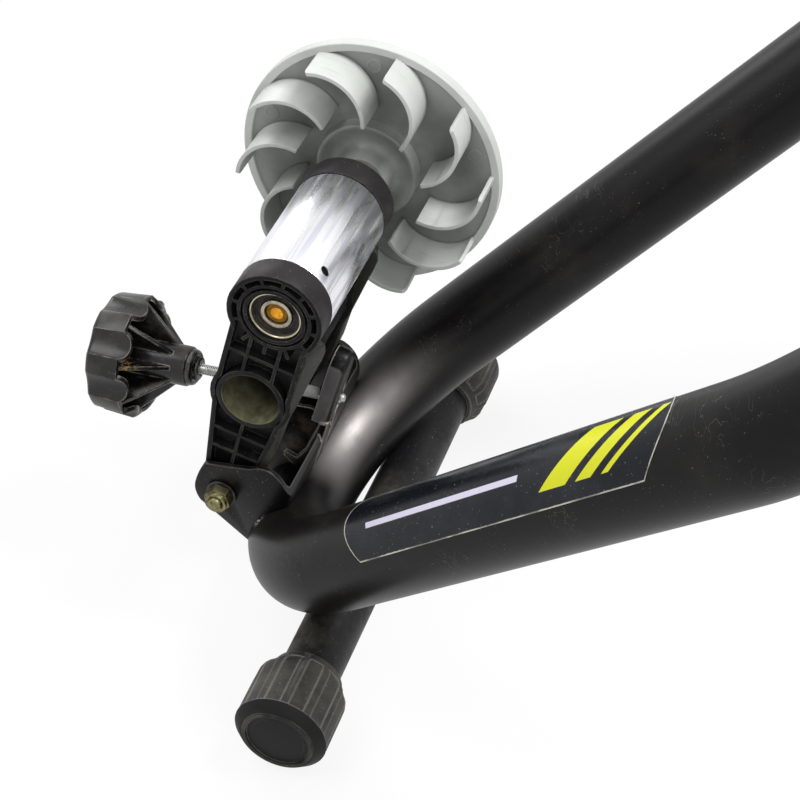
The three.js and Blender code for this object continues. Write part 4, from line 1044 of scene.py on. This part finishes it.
knob = {
    "radius": 34.5,
    "lobes": 8,
    "phase": 25.0,
    "scoop": 9.4,
    "scoopOffset": 39.4,
    "faceDepth": 0.35,
    "start": 33.0,
    "end": 53.0,
    "bulge": 4.5,
    "wall": 3.0,
    "taper": 0.955,
    "faceRound": 3.2,
    "gussetThickness": 2.4,
    "gusset": [(8.0, 12.0), (11.9, 12.0), (31.6, 33.4), (31.4, 51.6), (8.0, 51.6)],
    "dome": [
        (51.0, 1.5), (51.0, 26.0), (53.0, 26.0), (54.2, 25.4), (55.0, 24.2), (55.6, 22.6),
        (56.0, 20.2), (56.0, 1.5),
    ],
    "hub": [
        (22.0, 1.0), (22.0, 3.3), (1.4, 3.3), (1.4, 6.2), (0.0, 6.4), (0.0, 8.6), (0.7, 9.6),
        (2.2, 10.2), (2.6, 9.8), (3.4, 9.8), (3.8, 10.8), (4.6, 11.2), (51.6, 11.6), (51.6, 1.0),
    ],
}
rod = {"start": -22.0, "end": 85.7, "radius": 3.0, "root": 2.45, "pitch": 1.0, "lead": 1.5}
rodSleeve = {"low": 57.0, "high": 76.0, "radius": 3.4, "edge": 0.5}
acrossKnob = turnX(90)  # drawn along z, laid towards the knob's face


def scoopHalf():
    # half the angle that a scoop takes out of the rim
    outer, offset, scoop = knob["radius"], knob["scoopOffset"], knob["scoop"]
    return degrees(acos((outer**2 + offset**2 - scoop**2) / (2 * outer * offset)))


def knobOutline():
    outer, offset, scoop = knob["radius"], knob["scoopOffset"], knob["scoop"]
    half = scoopHalf()
    spread = degrees(asin(outer * sin(radians(half)) / scoop))
    step = 360 / knob["lobes"]
    reach = step / 2 - half
    points = []
    for i in range(knob["lobes"]):
        lobe = i * step + knob["phase"]
        valley = lobe + step / 2
        centre = arc((0, 0), offset, valley, valley, 1)[0]
        points += arc((0, 0), outer, lobe - reach, lobe + reach, 6)
        points += arc(centre, scoop, valley + 180 + spread, valley + 180 - spread, 14)[1:-1]
    return points


def makeKnobRim():
    # an outline drawn up into a cup: each scoop's nose runs on past the skirt towards the hub
    size = knob
    outer, offset, scoop = size["radius"], size["scoopOffset"], size["scoop"]
    low, high = size["start"] + 0.1, size["end"] - 0.1
    step = 360 / size["lobes"]
    shares = 7
    width = scoopHalf() / shares

    def inScoop(place, share):
        turn = (degrees(atan2(place.y, place.x)) - size["phase"]) % step
        inRim = hypot(place.x, place.y) < outer - 0.1
        return inRim and (share - 1) * width <= abs(turn - step / 2) < share * width

    def swollen(swell):
        bpy.ops.transform.resize(value=(swell, swell, 1), center_override=(0, 0, size["end"]))

    piece = traced("knob_rim", knobOutline(), size["start"], size["end"])
    openEdit(piece)
    pick("FACE", piece, lambda centre: centre.z < low)
    bpy.ops.mesh.delete(type="ONLY_FACE")
    for share in range(1, shares + 1):
        drop = size["bulge"] * (1 - ((share - 0.5) / shares) ** 2) ** 0.5
        angle = radians((share - 0.5) * width)
        across = scoop**2 - (offset * sin(angle)) ** 2
        depth = offset * cos(angle) - sqrt(max(across, 0))
        pick("VERT", piece, lambda place: inScoop(place, share) and place.z < low)
        bpy.ops.transform.translate(value=(0, 0, -drop))
        pick("VERT", piece, lambda place: inScoop(place, share) and place.z > high)
        swollen((outer - size["faceDepth"] * (outer - depth)) / depth)
    pick("VERT", piece, lambda place: place.z > high)
    swollen(size["taper"])
    pick("EDGE", piece, lambda first, second: min(first.z, second.z) > high)
    bpy.ops.mesh.bevel(offset=size["faceRound"], segments=5, affect="EDGES")
    closeEdit()
    applied(piece, "SOLIDIFY", {"thickness": size["wall"], "offset": -1.0, "use_even_offset": True})
    return softened(piece, 0.45, 40)


def makeKnob():
    size = knob
    half = size["gussetThickness"] / 2
    rim = makeKnobRim()
    dome = turned("knob_dome", size["dome"], 72)
    hub = softened(turned("knob_hub", size["hub"], 56), 0.25, 40)
    plate = softened(traced("gusset", size["gusset"], -half, half), 0.5, 40)
    plate.data.transform(turnX(90))
    parts = [rim, dome, hub] + copiedRound(plate, size["lobes"], size["phase"])
    piece = smoothed(united("knob_moulding", parts), 35)
    settle(piece, rodPlace @ acrossKnob, "knob", "knob", ["tension_knob"])


def makeRod():
    # one turn of the thread's profile, wound on by a screw modifier, round a plain core
    size = rod
    start, end, pitch = size["start"], size["end"], size["pitch"]
    piece = startPoint("screw_rod", (size["root"], 0, start))
    depth = size["radius"] - size["root"]
    for out, rise in ((depth, 0.42), (0, 0.14), (-depth, 0.42), (0, 0.02)):
        extrude(out, 0, pitch * rise)
    closeEdit()
    turns = int((end - start - size["lead"]) / pitch)
    settings = {"axis": "Z", "angle": tau, "screw_offset": pitch, "iterations": turns}
    settings |= {"steps": 24, "render_steps": 24, "use_merge_vertices": True, "merge_threshold": 0.001}
    applied(piece, "SCREW", settings)
    openEdit(piece)
    closeFacingOut()
    root = size["root"] + 0.05
    ends = [(start, root - 0.4), (start + 0.4, root), (end - 0.9, root), (end, root - 0.6)]
    piece = smoothed(united("screw_rod", [piece, turned("rod_core", ends, 32)]), 25)
    settle(piece, rodPlace @ alongY, "knob", "steel", ["threaded_rod"])


def makeRodSleeve():
    low, high, radius, edge = (rodSleeve[key] for key in ("low", "high", "radius", "edge"))
    profile = [(low, radius - edge), (low + edge, radius), (high - edge, radius), (high, radius - edge)]
    piece = smoothed(turned("rod_sleeve", profile, 40), 30)
    settle(piece, rodPlace @ alongY, "knob", "plated")


makeKnob()
makeRod()
makeRodSleeve()
print("knob and rod made")


# Bearings: a pale outer race, a black seal set back in it

bearing = {"inner": 43.9, "outer": 53.4, "face": 50.6, "radius": 13.9, "race": 12.6, "seal": 8.6}


def makeBearing(side):
    keys = ("inner", "outer", "face", "radius", "race", "seal")
    low, high, end, radius, race, seal = (bearing[key] for key in keys)
    outside = [(low, race + 0.3), (low, radius - 0.5), (low + 0.5, radius), (high - 0.5, radius)]
    inside = [(high, radius - 0.5), (high, race + 0.3), (high - 0.4, race), (low + 0.4, race)]
    rim = [(end, race - 0.05), (end, race - 0.9), (end - 0.35, race - 1.3), (end - 0.35, seal + 1.0)]
    lip = [(end + 0.1, seal + 0.6), (end + 0.1, seal + 0.1), (low + 0.7, seal), (low + 0.7, race - 0.05)]
    ring = smoothed(turned(f"bearing_race_{side}", outside + inside, 72, bore=True), 35)
    shield = smoothed(turned(f"bearing_seal_{side}", rim + lip, 72, bore=True), 35)
    place = rotorPlace @ turnZ(180 if side == "left" else 0) @ alongX
    settle(ring, place, "unit", "bearingSteel", [f"bearing_outer_{side}"])
    settle(shield, place, "unit", "seal")


makeBearing("right")
makeBearing("left")
print("bearings made")


# Flanges along the yoke's side that faces the bracket, flared towards the roller

yokeFlange = {
    "inner": 40.2,
    "outer": 54.6,
    # pairs of (y, z) along the free edge: beside the middle of the yoke, and on the plate's face
    "innerEdge": [
        (14.0, 14.0), (18.0, 23.1), (19.7, 40.8), (20.3, 55.9), (22.0, 65.5), (23.6, 77.2),
        (25.6, 92.6), (27.0, 101.5), (27.5, 108.0), (26.2, 112.6), (22.0, 114.4),
    ],
    "outerEdge": [
        (13.6, 14.0), (18.2, 23.0), (20.2, 38.8), (20.5, 56.1), (20.5, 66.0), (20.5, 77.4),
        (20.6, 92.0), (20.9, 100.0), (21.5, 107.0), (21.2, 111.6), (19.8, 113.4),
    ],
    "root": [(18.6, 108.0), (18.6, 70.0), (11.6, 14.0)],
}


def makeYokeFlange():
    # traced at its inner edge, then its face is drawn to the outer edge
    size = yokeFlange
    piece = traced("yoke_flange_right", size["innerEdge"] + size["root"], size["inner"], size["outer"])
    for vert in piece.data.vertices:
        for inner, outer in zip(size["innerEdge"], size["outerEdge"]):
            if vert.co.z > size["outer"] - 0.1 and (vert.co.xy - Vector(inner)).length < 0.01:
                vert.co.xy = outer
                break
    openEdit(piece)
    closeFacingOut()
    softened(piece, 0.9, 35, 3)
    smoothed(piece, 40)
    left = mirrored(piece, "yoke_flange_left", "Z")
    for flange in (piece, left):
        settle(flange, unitPlace @ alongX, "unit", "flange")


makeYokeFlange()


# Bracket of pressed steel: ears beside the yoke, a web on the bend and a tongue for the rod

bracket = {
    "halfWidth": 58.2,
    "back": -18.0,
    "face": 36.0,
    "bend": 6.0,
    "sheet": 3.0,
    "bottom": -31.0,
    "top": 31.0,
    "hole": 4.3,
    "past": 2.0,
}
tongue = {
    "halfWidth": tongueHalf,
    "back": 26.6,
    "face": 36.6,
    "bottom": 28.0,
    "archCentre": 67.0,
    "round": 4.2,
    "wall": 2.0,
    "slot": [(-3.4, 34.5), (3.4, 34.5), (3.4, 52.5), (-3.4, 52.5)],
    "slotDepth": 5.0,
}
tongueWall = {
    "inner": 6.2,
    "outer": 8.8,
    # the walls run down to the web and turn in below the rod
    "outline": [
        (36.0, -14.0), (36.0, 30.0), (31.4, 30.0), (31.4, 24.4), (28.8, 4.5), (25.4, -3.6),
        (19.0, -2.4), (17.6, -5.4), (25.2, -10.0), (29.0, -14.0),
    ],
}
guide = {
    "inner": 4.4,
    "outer": 6.6,
    # gussets on the tube, that reach up between the tongue's walls
    "outline": [
        (33.4, -26.0), (33.4, 33.5), (24.0, 34.0), (13.6, 30.6), (12.8, 4.0), (11.5, -8.0),
        (6.0, -16.0), (4.0, -24.0), (12.0, -26.0),
    ],
}
ear = {
    # the side view of an ear and the web, as (y, z): each curve has a control point and an end
    "radius": 15.6,
    "foot": [(27.0, -29.2), (36.0, -22.5), (37.0, -22.5), (37.0, 13.0), (35.6, 16.0)],
    "curves": [
        ((30.0, 27.5), (21.0, 29.6)),
        ((15.5, 30.0), (11.0, 25.4)),
        ((0.0, 20.4), (-13.5, 15.5)),
        ((-15.6, 7.8), (-15.6, 0.0)),
    ],
}


def earPoints(steps=6):
    points = arc((0, 0), ear["radius"], 180, 230, 8) + ear["foot"]
    for control, end in ear["curves"]:
        start = points[-1]
        for i in range(1, steps + 1):
            t = i / steps
            weights = ((1 - t) ** 2, 2 * t * (1 - t), t * t)
            ways = zip(start, control, end)
            points.append(tuple(sum(w * place for w, place in zip(weights, way)) for way in ways))
    return points[:-1]


def makeChannel(name, size):
    # a sheet folded into a channel, open towards -y
    wide, sheet, bend = size["halfWidth"], size["sheet"], size["bend"]
    inset, front = wide - bend, size["face"] - bend
    outer = [(-wide, size["back"])] + arc((-inset, front), bend, 180, 90, 6)
    outer += arc((inset, front), bend, 90, 0, 6) + [(wide, size["back"])]
    inner = [(wide - sheet, size["back"])] + arc((inset, front), bend - sheet, 0, 90, 6)
    inner += arc((-inset, front), bend - sheet, 90, 180, 6) + [(-wide + sheet, size["back"])]
    return traced(name, outer + inner, size["bottom"], size["top"])


def makeTongue():
    # a trough with an arched end: its open side faces the yoke
    size = tongue
    wide = size["halfWidth"]
    arch = arc((0, size["archCentre"]), wide, 0, 180, 24)
    outline = [(-wide, size["bottom"]), (wide, size["bottom"])] + arch
    shell = traced("tongue", outline, size["back"], size["face"])
    openEdit(shell)
    pick("EDGE", shell, lambda first, second: min(first.z, second.z) > size["face"] - 0.01)
    bpy.ops.mesh.bevel(offset=size["round"], segments=6, affect="EDGES")
    pick("FACE", shell, lambda centre: centre.z < size["back"] + 0.01)
    bpy.ops.mesh.delete(type="FACE")
    closeEdit()
    applied(shell, "SOLIDIFY", {"thickness": size["wall"], "offset": -1.0})
    face, depth = size["face"], size["slotDepth"]
    carved(shell, traced("rod_slot", size["slot"], face - depth, face + depth))
    # drawn in the plane of x and z, thick along y
    shell.data.transform(Matrix(((1, 0, 0, 0), (0, 0, 1, 0), (0, 1, 0, 0), (0, 0, 0, 1))))
    shell.data.flip_normals()
    return softened(shell, 0.35, 40)


def makeBracket():
    reach = bracket["halfWidth"] + bracket["past"]
    sheet = makeChannel("bracket_sheet", bracket)
    ears = traced("ear_outline", earPoints(), -reach, reach)
    ears.data.transform(alongX)
    carved(sheet, ears, "INTERSECT")
    carved(sheet, rodPiece("pivot_hole", bracket["hole"], -reach, reach, 32, alongX))
    softened(sheet, 0.5, 40)
    parts = [sheet, makeTongue()]
    for size in (tongueWall, guide):
        wall = traced("tongue_wall", size["outline"], size["inner"], size["outer"])
        softened(wall, 0.4, 35)
        wall.data.transform(alongX)
        parts += [wall, mirrored(wall, "tongue_wall_left")]
    piece = smoothed(united("bracket_steel", parts), 40)
    settle(piece, unitPlace, "frame", "bracketPaint", ["unit_bracket"])


makeBracket()
print("yoke flanges and bracket made")


# Parts kept from the model: their edges are softened and their faces smoothed as they are drawn

dressing = {
    # each finish with its parts and the width of their edges, where a star stands for both sides
    "blackPaint": {"front_leg": 0.3},
    "rubber": {"front_foot_*": 0.6},
    "yoke": {"yoke": 0.4},
    "plug": {"arm_plug_*": 0.5, "adjust_handle": 0.6, "lever_grip": 0.8},
    "zinc": {"leg_nut_*": 0.25, "pivot_bolt": 0.3, "pivot_nut": 0.3},
    "steel": {
        "axle_cup_*": 0.3,
        "adjust_screw": 0.2,
        "lever_pin": 0.25,
        "fan_washer": 0.15,
        "fan_nut": 0.25,
        "rod_nut": 0.25,
    },
    "dullSteel": {
        "leg_bolt_*": 0.25,
        "leg_washer_*": 0.15,
        "leg_stop_*": 0.25,
        "clamp_sleeve_right": 0.3,
        "clamp_housing_left": 0.3,
        "clamp_lever": 0.4,
        "pivot_sleeve": 0.2,
    },
    "blackSteel": {"pivot_washer_*": 0.15, "roller_set_screw": 0.2, "knob_washer": 0.15},
    "innerRace": {"bearing_inner_*": 0.2},
    "shaft": {"roller_shaft": 0.3},
}


def dressed(name, finish, width):
    part = nodes[name]
    part.data.materials.clear()
    part.data.materials.append(finishes[finish])
    added(part, "WELD", {"merge_threshold": 0.00001})
    added(part, "DECIMATE", {"decimate_type": "DISSOLVE", "angle_limit": radians(1)})
    added(part, "BEVEL", {**bevelled(width * millimetre, 2, 38), "harden_normals": True})
    for face in part.data.polygons:
        face.use_smooth = True


for finish, widths in dressing.items():
    for name, width in widths.items():
        for side in ("right", "left") if "*" in name else ("",):
            dressed(name.replace("*", side), finish, width)
print("parts dressed")


# Camera, light and floor

bpy.ops.object.camera_add(location=(0.731135, 0.042842, 0.755334))
camera = bpy.context.object
camera.rotation_euler = [radians(a) for a in (50.96794356, 3.32642427, 108.38082073)]
camera.data.lens = 85.29969772
camera.data.sensor_width = 36
camera.data.clip_start = 0.01
bpy.context.scene.camera = camera

white = (1, 1, 1, 1)
studio = {
    "floorSize": 14,
    "floorDrop": 0.0003,
    "floorGlow": 0.88,
    "softStrength": 0.37,
    "aim": (0.0, -0.26, 0.12),
    # each light's place, size and power
    "lights": {
        "key": ((-0.16, 0.52, 1.32), (0.34, 0.5), 15),
        "top": ((0.25, -0.75, 1.35), (0.8, 0.8), 8),
        "rim": ((-0.9, -1.15, 0.95), (0.6, 0.6), 5),
        "side": ((1.2, 0.5, 0.9), (0.9, 0.7), 5),
    },
}


def makeLights():
    for name, (place, size, power) in studio["lights"].items():
        deselectAll()
        bpy.ops.object.light_add(type="AREA", location=place)
        light = bpy.context.object
        light.name = name
        light.data.shape = "RECTANGLE"
        light.data.size, light.data.size_y = size
        light.data.energy = power
        aim = Vector(studio["aim"]) - Vector(place)
        light.rotation_euler = aim.to_track_quat("-Z", "Y").to_euler()


def makeWorld():
    world = bpy.data.worlds.new("studio")
    bpy.context.scene.world = world
    world.use_nodes = True
    world.node_tree.nodes.clear()
    wiring = Wiring(world.node_tree)
    soft = wiring.node("ShaderNodeBackground", None, {"Color": white, "Strength": studio["softStrength"]})
    bright = wiring.node("ShaderNodeBackground", None, {"Color": white, "Strength": 1.0})
    mix = wiring.node("ShaderNodeMixShader", None, {0: wiring.seen(), 1: soft, 2: bright})
    wiring.node("ShaderNodeOutputWorld", None, {"Surface": mix})


def makeFloor():
    deselectAll()
    bpy.ops.mesh.primitive_plane_add(size=studio["floorSize"], location=(0, 0, -studio["floorDrop"]))
    floor = bpy.context.object
    floor.name = "floor"
    finish = Finish("floor_paper", "f4f4f3", Roughness=0.9, Specular_IOR_Level=0.1)
    finish.coat(finish.noise(3, 2) * 0.02, "ecece9")
    finish.paint()
    glow = finish.node("ShaderNodeEmission", None, {"Color": white, "Strength": 1.0})
    paper = Wire(finish, finish.shader.outputs[0])
    share = finish.seen() * studio["floorGlow"]
    mix = finish.node("ShaderNodeMixShader", None, {0: share, 1: paper, 2: glow})
    finish.plug(mix, finish.tree.nodes["Material Output"].inputs["Surface"])
    floor.data.materials.append(finish.material)


makeLights()
makeWorld()
makeFloor()
bpy.context.scene.view_settings.view_transform = "Standard"
print("camera, light and floor set")
